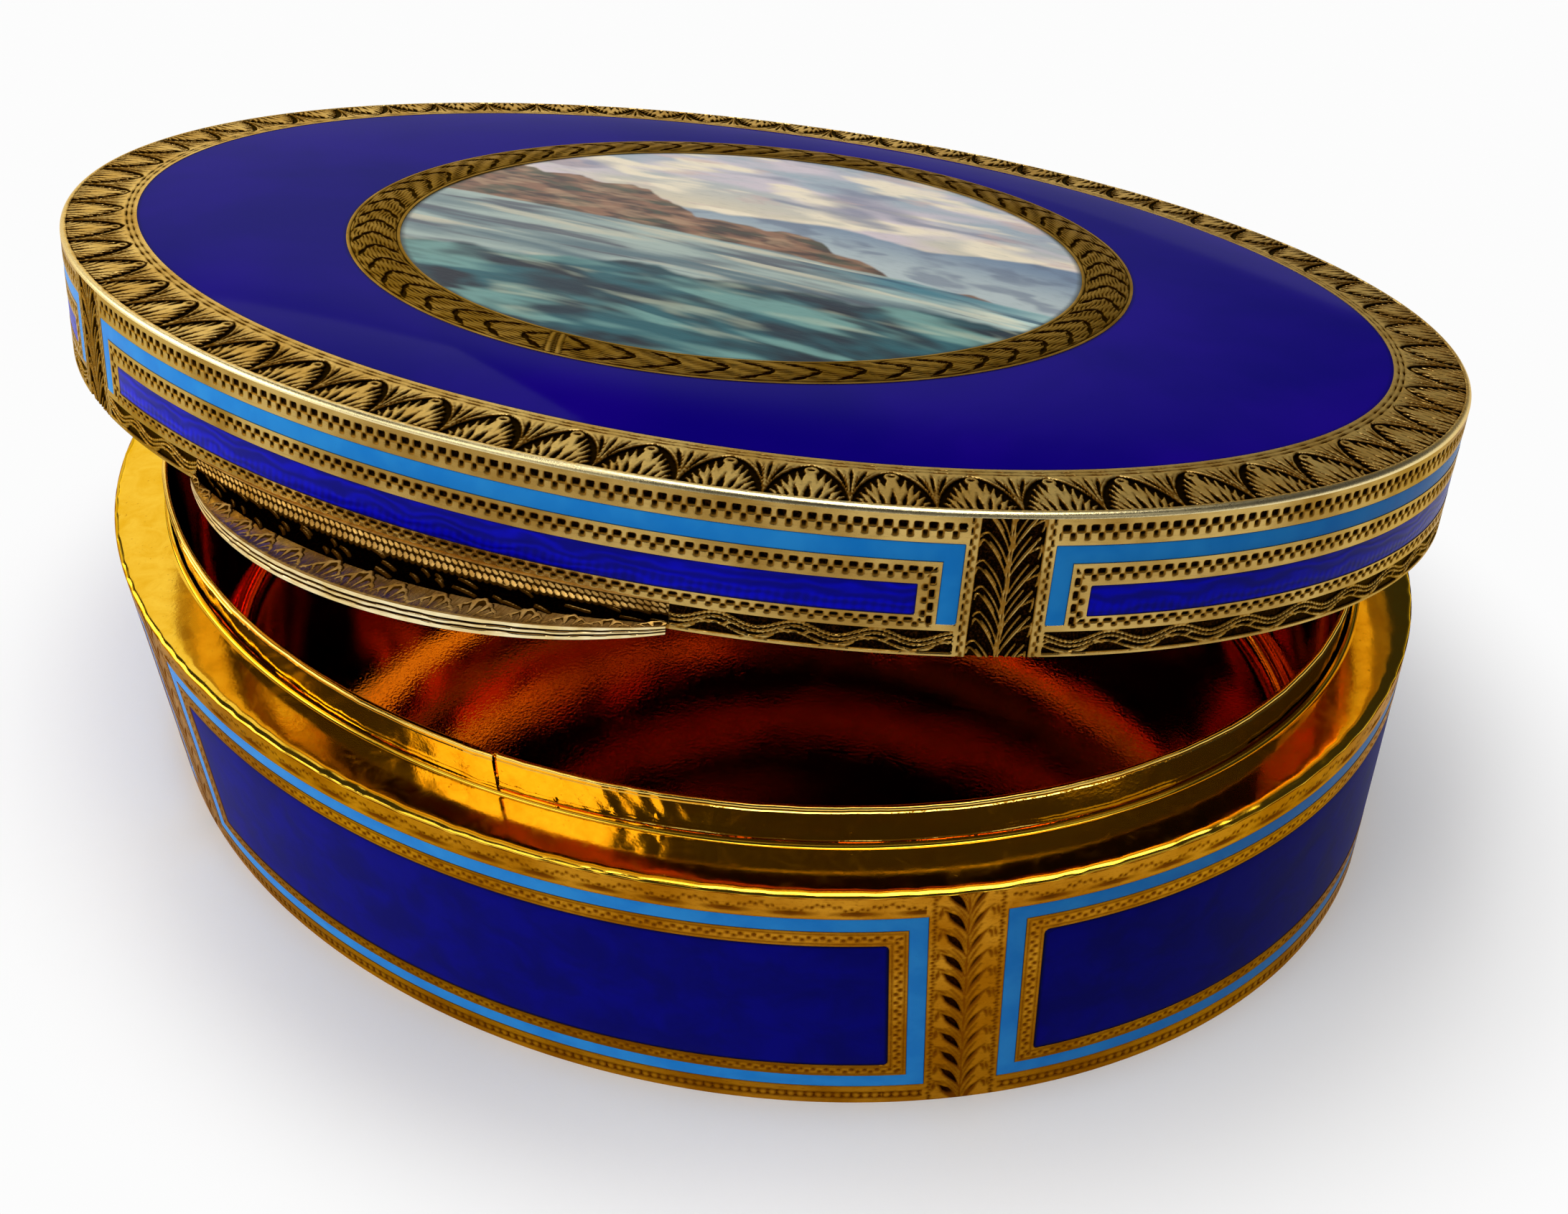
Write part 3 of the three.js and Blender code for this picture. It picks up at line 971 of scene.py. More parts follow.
baseBands = {
    "part": "base",
    "foot": 0.0,
    "lineFoot": 2.65,
    "lineTop": 27.9,
    "line": 1.8,
    "beadTop": 1.95,
    "beadFoot": 1.6,
    "beadSide": 1.75,
    "panelFoot": 6.05,
    "corner": 0.7,
    "closed": True,
    "wallTop": ledgeTop - sheet["ledgeRound"],
    "crestGap": 0.2,
    "crestWaves": 72,
    "crestLine": 1.5,    # above the enamel line
    "crestRise": 0.36,
    "lens": (1.55, 0.26),    # half its length and height
    "dotPitch": 0.62,
    "footTop": 2.2,
    "footLine": 1.25,
    "footPitch": 0.92,
    "leafPitch": 2.9,
    "leafCuts": (    # root, bend and tip to the side and upwards, width, fullest place, depth
        ((-0.06, -1.3), (-0.7, 0.5), (-2.25, 2.3), 0.92, 0.66, 0.36),
        ((-0.1, 0.6), (-0.45, 1.7), (-1.3, 2.85), 0.14, 0.5, 0.12),
        ((-0.1, 0.0), (-0.6, 1.4), (-1.75, 2.75), 0.12, 0.5, 0.1),
        ((-1.7, 2.3), (-2.1, 2.7), (-2.7, 3.0), 0.2, 0.5, 0.12),
        ((-2.75, 1.3), (-2.6, 1.9), (-2.5, 2.7), 0.36, 0.5, 0.16),
        ((0.08, -1.4), (0.5, 0.6), (1.85, 2.3), 0.56, 0.62, 0.18),
        ((0.12, 0.3), (0.45, 1.8), (1.25, 3.1), 0.13, 0.5, 0.1),
        ((0.6, 0.3), (1.2, 1.7), (2.2, 2.6), 0.13, 0.5, 0.1),
        ((1.9, 2.3), (2.3, 2.0), (2.3, 1.2), 0.3, 0.4, 0.18),
        ((2.75, 1.2), (2.6, 1.8), (2.55, 2.4), 0.26, 0.5, 0.12),
    ),
    "frameStep": 0.16,
    "pilasterStep": 0.13,
    "coarse": (2, 6, 10),    # spans of rows in the middle of the enamel
}


def baseRow(along, across, width):
    dots = dotRows(along, across, baseBands["dotPitch"], 0.19, 0.17)
    groove = np.abs(np.abs(across) - 0.34 * width) - 0.03
    return joined(dots, (groove, 0.06 * sink(groove, 0.06)))


def baseCrest(s, z):    # a dotted wave with long lens-shaped cuts under its crests
    above = z - baseBands["lineTop"]
    period = perimeter / baseBands["crestWaves"]
    cell = np.floor(s / period)
    u = s - (cell + 0.5) * period
    waveLine = baseBands["crestLine"] + baseBands["crestRise"] * np.cos(2 * math.pi * s / period)
    dots = dotRows(s, above - waveLine, 0.5, 0.13, 0.13)
    long, high = baseBands["lens"]
    lens = (np.hypot(u / long, (above - 0.8 - 0.08 * byHand(cell, 4)) / high) - 1) * high
    return joined(dots, (lens, 0.11 * sink(lens, 0.2)))


def footRow(s, z):    # beads between two grooves round the foot
    across = z - baseBands["footLine"]
    u = s % baseBands["footPitch"] - baseBands["footPitch"] / 2
    bead = 0.38 - np.hypot(u * 1.05, across)
    cut = np.maximum(np.abs(across) - 0.46, bead)
    return cut, 0.13 * sink(cut)


def baseLeaf(u, z):    # leaf pairs up the pilaster, deep on one side and shallow on the other
    pitch = baseBands["leafPitch"]
    cell = np.floor(z / pitch)
    stem = np.abs(u + 0.05 * np.sin(1.3 * z)) - 0.07 - 0.03 * np.sin(2.2 * z)
    parts = [(stem, 0.14)]
    for step in (-1, 0, 1):
        index = cell + step
        w = z - index * pitch - 0.2 * byHand(index, 5)
        lean = u * (1 + 0.05 * byHand(index, 6)) + 0.06 * byHand(index, 7)
        for root, bend, tip, width, fullest, depth in baseBands["leafCuts"]:
            parts.append((blade(lean, w, root, bend, tip, width, fullest, 0.12, 0.1), depth))
    foot = np.clip((z - 0.3) / 1.2, 0, 1)    # the cuts run out before the lower edge
    parts = [(np.maximum(cut, np.abs(u) - 2.8), foot * depth * sink(cut, 0.26)) for cut, depth in parts]
    return joined(*parts, dotRows(z, np.abs(u) - 3.08, 0.46, 0.14, 0.06))


# Lid wall

lidBands = {
    "part": "lid",
    "foot": lidFoot,
    "lineFoot": 2.9,
    "lineTop": 10.0,
    "line": 1.65,
    "beadTop": 1.95,
    "beadFoot": 1.2,
    "beadSide": 1.75,
    "panelFoot": 3.6,
    "corner": 0.25,
    "closed": False,
    "footTop": 2.4,    # of the waved lower edge
    "wallTop": lidHeight - sheet["edgeRound"],
    "teeth": 360,
    "waves": 66,
    "waveRise": 0.42,
    "crestGap": 0.1,
    "crestLine": 11.1,
    "crestReach": 0.72,
    "leafPitch": 2.4,
    "leftLines": (    # root, bend and tip to the side and upwards, width
        ((0.12, 0.0), (0.7, 1.8), (2.05, 3.2), 0.1),
        ((0.12, 0.9), (0.65, 2.7), (1.9, 3.9), 0.08),
        ((0.75, 1.75), (1.1, 2.4), (1.7, 3.1), 0.05),
        ((2.05, 3.2), (2.42, 3.5), (2.45, 2.8), 0.08),
        ((1.9, 3.9), (2.3, 3.95), (2.5, 3.55), 0.06),
    ),
    "rightLines": (
        ((0.15, 0.1), (0.85, 1.7), (2.25, 3.5), 0.17),
        ((0.2, 1.1), (0.6, 2.2), (1.5, 3.6), 0.06),
        ((1.5, 2.2), (2.0, 2.6), (2.45, 2.75), 0.07),
        ((2.3, 1.7), (2.5, 2.2), (2.45, 2.9), 0.07),
    ),
    "frameStep": 0.12,
    "pilasterStep": 0.11,
    "coarse": (3, 7),
}
toothPitch = perimeter / lidBands["teeth"]


def lidRow(along, across, width):
    return toothRow(along, across, toothPitch, min(0.6, 0.36 * width))


def lidCrest(s, z):
    return toothRow(s, z - lidBands["crestLine"], toothPitch, lidBands["crestReach"])


def waveBorder(s, z):    # two beaded lines and a plain one running in waves over a sunk ground
    period = perimeter / lidBands["waves"]
    turn = 2 * math.pi * s / period
    cell = np.floor(s / period)
    u = s - (cell + 0.5) * period
    bead = 0.025 + 0.06 * np.abs(np.sin(math.pi * s / 0.4))
    upper = 1.5 + lidBands["waveRise"] * np.cos(turn)
    slope = np.cos(np.arctan(lidBands["waveRise"] * 2 * math.pi / period * np.sin(turn)))
    ridges = [
        np.abs(z - upper - 0.2) * slope - bead,
        np.abs(z - upper + 0.2) * slope - bead,
        np.abs(z - 0.82 - 0.44 * np.cos(turn + 0.35)) * slope - 0.055,
        z - 0.24,
        2.28 - z,
    ]
    for side in (-1, 1):
        ridges.append(blade(u * side, z, (0.3, 0.45), (0.9, 0.4), (1.5, 0.75), 0.16, 0.5))
        ridges.append(blade(u * side, z, (1.9, 1.35), (2.3, 1.3), (2.7, 1.05), 0.12, 0.5))
    cut = -np.minimum.reduce(ridges)
    return cut, 0.2 * sink(cut)


def lidLeaf(u, z):    # palm stem of long narrow leaves, their outlines left standing
    pitch = lidBands["leafPitch"]
    cell = np.floor(z / pitch)
    ridges = [np.abs(np.abs(u + 0.05 * np.sin(1.7 * z)) - 0.11) - 0.035]
    for step in (-2, -1, 0, 1):
        index = cell + step
        w = z - index * pitch - 0.15 * byHand(index, 5)
        for side, lines in ((-1, lidBands["leftLines"]), (1, lidBands["rightLines"])):
            lean = side * u * (1 + 0.06 * byHand(index, 6 + side)) + 0.05 * byHand(index, 8)
            for root, bend, tip, width in lines:
                ridges.append(blade(lean, w, root, bend, tip, width, 0.6, 0.2, 0.4))
    cut = -np.minimum.reduce(ridges)
    cut = np.maximum(cut, np.abs(u) - 2.66)
    depth = 0.24 * sink(cut, 0.16)
    return joined((cut, depth), toothRow(z, np.abs(u) - 3.1, 0.95, 0.3))


print("walls")
wallPieces(baseBands, wallOrnament(baseBands, baseRow, baseCrest, footRow, baseLeaf), baseGold)
wallPieces(lidBands, wallOrnament(lidBands, lidRow, lidCrest, waveBorder, lidLeaf), lidWallGold)


# Enamel in the walls

inlay = {
    "margin": 0.12,    # how far the enamel runs in under the metal
    "hidden": 0.3,    # how deep that hidden edge lies
    "level": 0.02,    # how deep the face lies
    "back": 0.7,
    "lineRows": 24,
    "lineColumns": 160,
    "panelRows": 16,
    "panelColumns": 150,
    "panelLooks": {    # name, look and slot, and how far the enamel rises to its middle
        "base": ("panel", panelNavy, "enamel_navy", 0.05),
        "lid": ("strip", stripCobalt, "enamel_strip", 0.04),
    },
}


def linePath(bands, index):    # the line's outer and inner edge, walked round the panel
    margin = inlay["margin"]
    outerStart, outerEnd = between(index, -margin)
    innerStart, innerEnd = between(index, bands["line"] + margin)
    outerTop = bands["lineTop"] + margin
    innerTop = bands["lineTop"] - bands["line"] - margin
    outerFoot = bands["lineFoot"] - margin
    innerFoot = bands["lineFoot"] + bands["line"] + margin if bands["closed"] else outerFoot
    corners = np.array([
        [(outerStart, outerFoot), (innerStart, innerFoot)],
        [(outerStart, outerTop), (innerStart, innerTop)],
        [(outerEnd, outerTop), (innerEnd, innerTop)],
        [(outerEnd, outerFoot), (innerEnd, innerFoot)],
    ])
    legs = []
    for corner in range(4 if bands["closed"] else 3):
        first, last = corners[corner], corners[(corner + 1) % 4]
        steps = inlay["lineColumns"] if corner % 2 else inlay["lineRows"]
        shares = np.linspace(0, 1, steps)[:-1, None, None]
        legs.append(first + (last - first) * shares)
    if not bands["closed"]:
        legs.append(corners[-1:])
    return np.concatenate(legs)


def inlaid(inset, drop):    # how far out the face stands, its hidden edge deep under the metal
    return np.where(inset < -0.02, -inlay["hidden"], -inlay["level"] - drop)


def addInlay(name, node, face, back, marks, closed, part, material):
    loops = np.concatenate([face, back], 1)
    engraving = np.concatenate([marks, marks[:, -1:], marks[:, :1]], 1)
    mesh = loopMesh(name, loops, closed, engraving, part)
    addPiece(name, mesh, material, part, [node])


def enamelLine(bands, index):
    path, part = linePath(bands, index), bands["part"]
    shares = np.array([0, 0.07, 0.075, 0.15, 0.3, 0.5, 0.7, 0.85, 0.925, 0.93, 1])
    full = bands["line"] + 2 * inlay["margin"]
    flat = path[:, :1] + (path[:, 1:] - path[:, :1]) * shares[None, :, None]
    inset = np.minimum(shares, 1 - shares) * full - inlay["margin"]
    out = inlaid(inset, 0.03 * np.clip(1 - inset / 0.3, 0, 1))
    place = wallPlace(bands["foot"])
    face = place(flat[..., 0], flat[..., 1], out[None, :])
    back = place(path[:, ::-1, 0], path[:, ::-1, 1], -inlay["back"])
    edge = np.broadcast_to(np.maximum(inset, 0)[None, :], flat.shape[:2])
    marks = np.concatenate([flat, edge[..., None]], -1)
    side = sideNames[index]
    name, node = f"{part}_sky_line_{side}", f"{part}_line_{side}"
    addInlay(name, node, face, back, marks, bands["closed"], part, skyBlue)


def panelSteps(length, plain, count):    # close steps by both edges, even ones between them
    ends = np.array([0, inlay["margin"], inlay["margin"] + 0.3])
    return np.concatenate([ends, np.linspace(plain, length - plain, count), length - ends[::-1]])


def enamelPanel(bands, index):
    part, margin = bands["part"], inlay["margin"]
    label, material, slot, crown = inlay["panelLooks"][part]
    start, end = between(index, bands["line"] + bands["beadSide"] - margin)
    low = bands["panelFoot"] - margin
    high = bands["lineTop"] - bands["line"] - bands["beadTop"] + margin
    along = start + panelSteps(end - start, 1.2, inlay["panelColumns"])
    rows = low + panelSteps(high - low, 1.0, inlay["panelRows"])
    s, z = np.meshgrid(along, rows, indexing="ij")
    inset = np.minimum(np.minimum(s - start, end - s), np.minimum(z - low, high - z)) - margin
    place = wallPlace(bands["foot"])
    face = place(s, z, inlaid(inset, crown * np.clip(1 - inset / 1.2, 0, 1) ** 2))
    back = place(along[:, None], np.array([[high, low]]), -inlay["back"])
    marks = np.stack([s, z, np.maximum(inset, 0)], -1)
    name = f"{part}_{label}_{sideNames[index]}"
    addInlay(name, name, face, back, marks, False, part, material)


print("enamel in the walls")
for index in range(4):
    for inlayPiece in (enamelLine, enamelPanel):
        for bands in (baseBands, lidBands):
            inlayPiece(bands, index)


# Border round the lid's top

border = {
    "palmettes": 62,
    "phase": 0.69,    # where the first palmette stands, in its own widths
    "step": 0.125,
    "thick": 1.1,
    "depth": 0.2,
    "leafTips": ((1.12, 4.75), (1.68, 4.02), (2.14, 3.1), (2.5, 2.2), (2.8, 1.3)),
    "arch": (    # distance inwards and the spray's half width there
        (0.9, 0.02), (2.0, 0.2), (2.9, 0.46), (3.8, 0.84),
        (4.6, 1.32), (5.3, 1.86), (5.8, 2.45), (6.16, 3.3),
    ),
}
edgeRound = sheet["edgeRound"]
arcLength = edgeRound * math.pi / 2


def borderPlace(s, v, out):    # v runs up over the rounded edge, then inwards
    turn = np.clip(v / edgeRound, 0, math.pi / 2)
    inward = np.maximum(v - arcLength, 0)
    reach = -edgeRound * (1 - np.cos(turn)) - inward + out * np.cos(turn)
    lift = (fieldEdge - lidTop) * inward / (sheet["border"] - edgeRound)
    return beside(s, reach, lidTop - edgeRound + edgeRound * np.sin(turn) + lift + out * np.sin(turn))


def palmettes(s, v):    # fans of leaves under pointed arches, a spray of blades between them
    pitch = perimeter / border["palmettes"]
    w = edgeRound + np.maximum(v - arcLength, 0)    # from the lid's outer face
    shifted = s / pitch - border["phase"] + 0.5
    cell = np.floor(shifted)
    u = (shifted - cell - 0.5) * pitch
    fanU = u * (1 + 0.05 * byHand(cell, 0)) + 0.03 * byHand(cell, 1) * w
    fanW = w * (1 + 0.03 * byHand(cell, 3))
    side = np.abs(fanU)

    gold = [
        stroke(fanU, fanW, [(0, 0.2), (0, 3.4), (0, 4.9)], [0.85, 0.6, 0.34]),
        np.hypot(fanU, fanW - 5.2) - 0.58,
        fanW - 0.42,
    ]
    for number, (tipU, tipW) in enumerate(border["leafTips"]):
        root = (0.25 + 0.34 * number, 0.25)
        bend = (tipU * 0.7, tipW * 0.5)
        gold.append(blade(side, fanW, root, bend, (tipU, tipW), 0.8 - 0.07 * number, 0.45, 0.7, 0.1))
    slits = [
        blade(fanU, fanW, (0.02, 0.1), (-0.04, 1.5), (0.03, 3.2), 0.6, 0.35, 0.7, 0.1),
        np.hypot(fanU / 1.3, fanW - 5.3) - 0.25,
        blade(side, fanW, (0.75, 0.3), (0.82, 1.5), (1.26, 3.1), 0.42, 0.4, 0.6, 0.1),
        blade(side, fanW, (1.35, 0.3), (1.5, 1.1), (2.02, 2.35), 0.36, 0.4, 0.6, 0.1),
        blade(side, fanW, (1.9, 0.3), (2.1, 0.8), (2.52, 1.6), 0.28, 0.4, 0.6, 0.1),
    ]
    fan = np.maximum(np.minimum.reduce(gold), -np.minimum.reduce(slits))

    aside = pitch / 2 - np.abs(u)    # 0 in the middle between two fans
    arch = np.interp(w, *zip(*border["arch"]))
    darts = [
        blade(aside, w, (0.0, 1.3), (0.0, 3.6), (0.0, 6.0), 0.36, 0.85, 0.15, 0.3),
        blade(aside, w, (0.06, 1.5), (0.4, 3.6), (1.3, 5.9), 0.44, 0.82, 0.12, 0.25),
        blade(aside, w, (0.16, 2.6), (0.42, 4.2), (0.66, 5.7), 0.13, 0.6, 0.2, 0.2),
        blade(aside, w, (0.7, 3.9), (1.2, 4.9), (2.0, 5.8), 0.13, 0.6, 0.2, 0.2),
    ]
    spray = np.maximum((aside - arch) * 0.74, -np.minimum.reduce(darts))
    spray = np.maximum(spray, 0.45 - w)

    ground = np.minimum.reduce([fan, spray, 6.16 - w])
    dash = 0.07 + 0.05 * np.sin(2.1 * s + 0.5 * np.sin(0.7 * s))
    grooves = np.minimum(np.abs(w - 6.42) - dash, np.abs(w - 6.92) - dash * 0.8)
    rim = np.abs(w - 0.6 - 0.03 * np.sin(1.3 * s)) - 0.05 - 0.02 * np.sin(2.9 * s)
    cut = np.minimum.reduce([-ground, grooves, rim]) + ragged(s, w, 0.02)
    cut = np.where(w < edgeRound + 0.02, noCut, cut)
    return cut, border["depth"] * sink(cut)


print("border")
borderRows = spaced([0, arcLength, arcLength + sheet["border"] - edgeRound], border["step"])
for index in range(4):
    start, end = between(index, -sheet["pilaster"] / 2)
    along = np.linspace(start, end, round((end - start) / border["step"]))
    name = f"lid_border_{sideNames[index]}"
    mesh = reliefMesh(name, borderPlace, along, borderRows, palmettes, border["thick"], body="lid")
    addPiece(name, mesh, borderGold, "lid", ["lid_top"])


# Enamel field, ring and painting on the lid's top

field = {
    "rows": 14,
    "columns": 360,
    "sunk": 0.04,
    "thick": 0.7,
}


def fieldMesh():    # from the border's inner oval to the ring's circle
    turn = np.linspace(0, 2 * math.pi, field["columns"], endpoint=False)[:, None]
    shares = np.linspace(0, 1, field["rows"])
    x, y, outX, outY = ovalTurned(turn)
    oval = points(x - sheet["border"] * outX, y - sheet["border"] * outY, 0)
    face = oval + (onCircle(turn, ringOuter, 0) - oval) * shares[:, None]
    face[..., 2] = fieldEdge - field["sunk"] + domeRise * (1 - (1 - shares) ** 2)
    back = face[:, [-1, 0]] - np.array([0, 0, field["thick"]])
    loops = np.concatenate([face, back], 1)
    width = np.linalg.norm(face[:, -1] - face[:, 0], axis=-1)
    edge = np.minimum(shares[None, :], 1 - shares[None, :]) * width[:, None]
    marks = np.concatenate([face[..., :2], edge[..., None]], -1)
    engraving = np.concatenate([marks, marks[:, [-1, 0]]], 1)
    return loopMesh("lid_enamel_field", loops, True, engraving, "lid")


ring = {
    "scales": 58,
    "step": 0.17,
    "rowStep": 0.12,
    "width": 5.3,
    "swell": 0.14,
    "thick": 0.8,
    "depth": 0.13,
    "linePitch": 0.38,
    "ribbon": 0.9,    # half its width
    "lip": 0.45,
}
painting = {
    "rows": 24,
    "columns": 240,
    "sunk": 0.1,
    "rise": 0.62,
    "thick": 0.8,
    "under": 0.02,    # how far it runs in under the ring
}
ringLength = 2 * math.pi * (ringOuter - ring["width"] / 2)


def ringPlace(s, v, out):
    z = ringTop - ring["swell"] * (2 * v / ring["width"] - 1) ** 2 + out
    return onCircle(s / ringLength * 2 * math.pi, ringOuter - v, z)


def scales(s, v):    # overlapping scales that run both ways from a ribbon at the front
    half = ringLength / 2
    away = np.abs((s + half) % ringLength - half)
    pitch = ringLength / ring["scales"]
    across = v - ring["width"] / 2
    cell = np.floor(away / pitch)
    cuts = []
    for step in (-1, 0, 1):
        index = cell + step
        u = away - (index + 0.5) * pitch - 0.15 * byHand(index, 0)
        w = np.abs(across + 0.08 * byHand(index, 1))
        cuts.append(blade(u, w, (1.35, 0.0), (0.95, 0.55), (0.05, 1.1), 0.6, 0.5, 0.5, 0.4))
        cuts.append(blade(u, w, (0.2, 1.0), (-0.6, 1.5), (-1.9, 2.05), 0.62, 0.5, 0.4, 0.15))
        cuts.append(blade(u, w, (0.9, 0.0), (0.55, 0.35), (-0.1, 0.7), 0.14, 0.5, 0.4, 0.3))
    wander = 0.09 * np.sin(away * 1.1) + 0.05 * np.sin(away * 2.7 + 1.3 * across)
    fromLine = np.abs((across + wander) / ring["linePitch"] % 1 - 0.5) * ring["linePitch"]
    strokes = fromLine - 0.065 - 0.035 * np.sin(away * 1.9 + 3.1 * across)
    cut = np.minimum.reduce([*cuts, strokes])
    ribbon = np.abs((s + half) % ringLength - half + 0.45 * across)
    bands = np.minimum(np.abs(ribbon - 0.15) - 0.09, np.abs(ribbon - 0.8) - 0.07)
    cut = np.where(ribbon < ring["ribbon"], bands, cut)
    edge = ring["width"] / 2 - np.abs(across)
    cut = np.where(edge < ring["lip"], np.abs(edge - 0.38) - 0.06, cut)
    shallow = np.where(strokes <= cut + 1e-9, 0.5, 1.0)
    return cut, ring["depth"] * sink(cut, 0.1) * shallow


def paintingMesh():    # a shallow dome of rings from its edge to its middle
    turn = np.linspace(0, 2 * math.pi, painting["columns"], endpoint=False)
    shares = np.linspace(1, 0.02, painting["rows"])[:, None]
    ringInner = ringOuter - ring["width"]
    radius = (ringInner + painting["under"]) * shares
    rim = ringTop - ring["swell"] - painting["sunk"]
    face = onCircle(turn, radius, rim + painting["rise"] * (1 - shares ** 2))
    foot = face[:1] - np.array([0, 0, painting["thick"]])
    loops = np.concatenate([foot, face])
    marks = onCircle(turn, radius, ringInner - radius)
    engraving = np.concatenate([marks[:1], marks])
    return loopMesh("lid_painting", loops, False, engraving, "lid")


print("field, ring and painting")
addPiece("lid_enamel_field", fieldMesh(), fieldCobalt, "lid", ["lid_field"])
ringAlong = np.linspace(0, ringLength, round(ringLength / ring["step"]), endpoint=False)
ringRows = spaced([0, ring["width"]], ring["rowStep"])
ringMesh = reliefMesh("lid_ring", ringPlace, ringAlong, ringRows, scales, ring["thick"], True, "lid")
addPiece("lid_ring", ringMesh, ringGold, "lid", ["painting_ring"])
addPiece("lid_painting", paintingMesh(), paintedScene, "lid", ["painting"])


# Ledge, bezel and linings

lining = {
    "columns": 480,
    "coreShares": (0.97, 0.9, 0.8, 0.65, 0.5, 0.35, 0.2, 0.08, 0.01),    # rows towards the middle
    "backShares": (0.01, 0.5),
}


def ovalLoops(profile, columns, ripple=None, extra=()):    # a profile of offsets and heights
    even = np.linspace(0, perimeter, columns, endpoint=False)
    s = np.unique(np.concatenate([even, extra]))[:, None]
    out, z = np.array(profile).T
    if ripple:
        out, z = ripple(s, out + 0 * s, z + 0 * s)
    return beside(s, out, z)


def rounded(centre, radius, start, end, steps):    # a quarter turn of a profile, in degrees
    offset, z = centre
    turns = np.radians(np.linspace(start, end, steps))
    return [(offset + radius * math.cos(turn), z + radius * math.sin(turn)) for turn in turns]


def centreRows(point, shares, columns, extra):    # loops that shrink towards the middle
    edge = ovalLoops([point], columns, None, extra)[:, 0]
    middle = np.array([0, 0, point[1]])
    return [middle + (edge - middle) * share for share in shares]


def shellMesh(name, profile, shares, columns, body="base", ripple=None, extra=()):
    # a profile swept round the oval and closed over the middle from both of its ends
    back = centreRows(profile[0], lining["backShares"], columns, extra)
    sides = ovalLoops(profile, columns, ripple, extra).transpose(1, 0, 2)
    core = centreRows(profile[-1], shares, columns, extra)
    return loopMesh(name, np.concatenate([back, sides, core]), False, None, body)


def ledgeRipple(s, out, lift):    # the hammered unevenness of the ledge's edge
    facet = np.abs(np.sin(0.8 * s + 0.8 * np.sin(0.43 * s) + 0.3 * np.sin(1.3 * s)))
    near = np.clip(1 + out / 1.6, 0, 1)
    return out - 0.09 * near * facet, lift - 0.06 * near * facet


inner = sheet["ledgeWidth"] - 0.02    # offset of the bezel's outer face
lip = sheet["ledgeRound"]
seat = sheet["wall"] + 0.1
ledgeProfile = [(-seat, ledgeFoot), (-seat, ledgeTop - lip - 0.05), (-0.02, ledgeTop - lip - 0.05)]
ledgeProfile += [
    (-sheet["ledgeBevel"] * (1 - math.cos(turn)), ledgeTop - lip * (1 - math.sin(turn)))
    for turn in np.radians(np.linspace(0, 90, 9))
]
ledgeProfile += [(-offset, ledgeTop) for offset in (1.4, 1.8, 2.4, 3.4, 4.4, 5.2)]
ledgeProfile += rounded((-inner + 0.55, ledgeTop + 0.35), 0.35, 270, 180, 5)
ledgeProfile += [(-inner, ledgeTop + 0.35), (-inner, ledgeFoot)]

seam = {
    "place": 1.2,
    "step": 0.22,
    "spread": 14.0,
    "slot": 0.3,
    "slotDepth": 0.3,
    "slotDrop": 2.9,
    "solder": ((13.0, 1.2, 0.5), (6.6, 0.9, 0.3), (17.4, 1.5, 0.28)),    # place, height and radius
}
seamColumns = np.concatenate([
    seam["place"] + np.array([-0.02, 0.02, 0.06, seam["slot"], seam["slot"] + 0.04]),
    np.arange(3.0, 22.0, 0.16),
])


def bezelRipple(s, out, lift):    # the lap joint, its solder, and slight waves from rolling the strip
    past = (s - seam["place"] + perimeter / 2) % perimeter - perimeter / 2
    lap = np.where(past < 0, np.exp(np.minimum(past, 0) / seam["spread"]), 0)
    outerFace = np.clip((lift - ledgeTop) / 0.5, 0, 1) * (out > -inner - 0.5)
    wave = 0.02 * np.sin(0.37 * s) + 0.02 * np.sin(0.83 * s + 1) + 0.02 * np.sin(0.21 * s + 0.9 * lift)
    wave = wave + 0.014 * np.sin(1.9 * s + 2 * np.sin(0.31 * s)) + 0.008 * np.sin(3.1 * s + 1.7 * lift)
    back = seam["step"] * (1 - lap) + 0.04 + wave
    inSlot = (past > 0.03) & (past < seam["slot"] + 0.01) & (lift > bezelTop - seam["slotDrop"])
    back = back + seam["slotDepth"] * inSlot
    for place, height, radius in seam["solder"]:
        gap = np.hypot(past - place, lift - ledgeTop - height)
        back = back - 0.14 * smooth(1 - gap / radius)
    return out - outerFace * back, lift - 0.02 * np.abs(wave) * outerFace


bezel = {
    "step": 0.2,    # between rows of its face
    "neck": ((0.62, 0.0), (0.55, 0.0), (0.5, 0.1), (0.3, 0.1)),    # below the top, and inwards
    "outerRound": 0.25,
    "innerRound": 0.2,
    "footRound": 3.0,
}
linerInner = inner + sheet["liner"]
floorLevel = linerFoot + sheet["liner"]
outerRound, innerRound, footRound = (bezel[f"{place}Round"] for place in ("outer", "inner", "foot"))
outerEdge = -inner - bezel["neck"][-1][1] - outerRound
bezelHeights = np.arange(bezel["step"], bezelTop - ledgeTop - 0.7, bezel["step"])
bezelProfile = [(-inner, linerFoot), (-inner, ledgeTop - 0.5)]
bezelProfile += [(-inner, ledgeTop + height) for height in bezelHeights]
bezelProfile += [(-inner - inwards, bezelTop - drop) for drop, inwards in bezel["neck"]]
bezelProfile += rounded((outerEdge, bezelTop - outerRound), outerRound, 0, 90, 5)
bezelProfile += rounded((-linerInner + innerRound, bezelTop - innerRound), innerRound, 90, 180, 5)
bezelProfile += [(-linerInner, z) for z in (bezelTop - 1, bezelTop - 3, 20, 12)]
bezelProfile += rounded((-linerInner - footRound, floorLevel + footRound), footRound, 0, -90, 9)

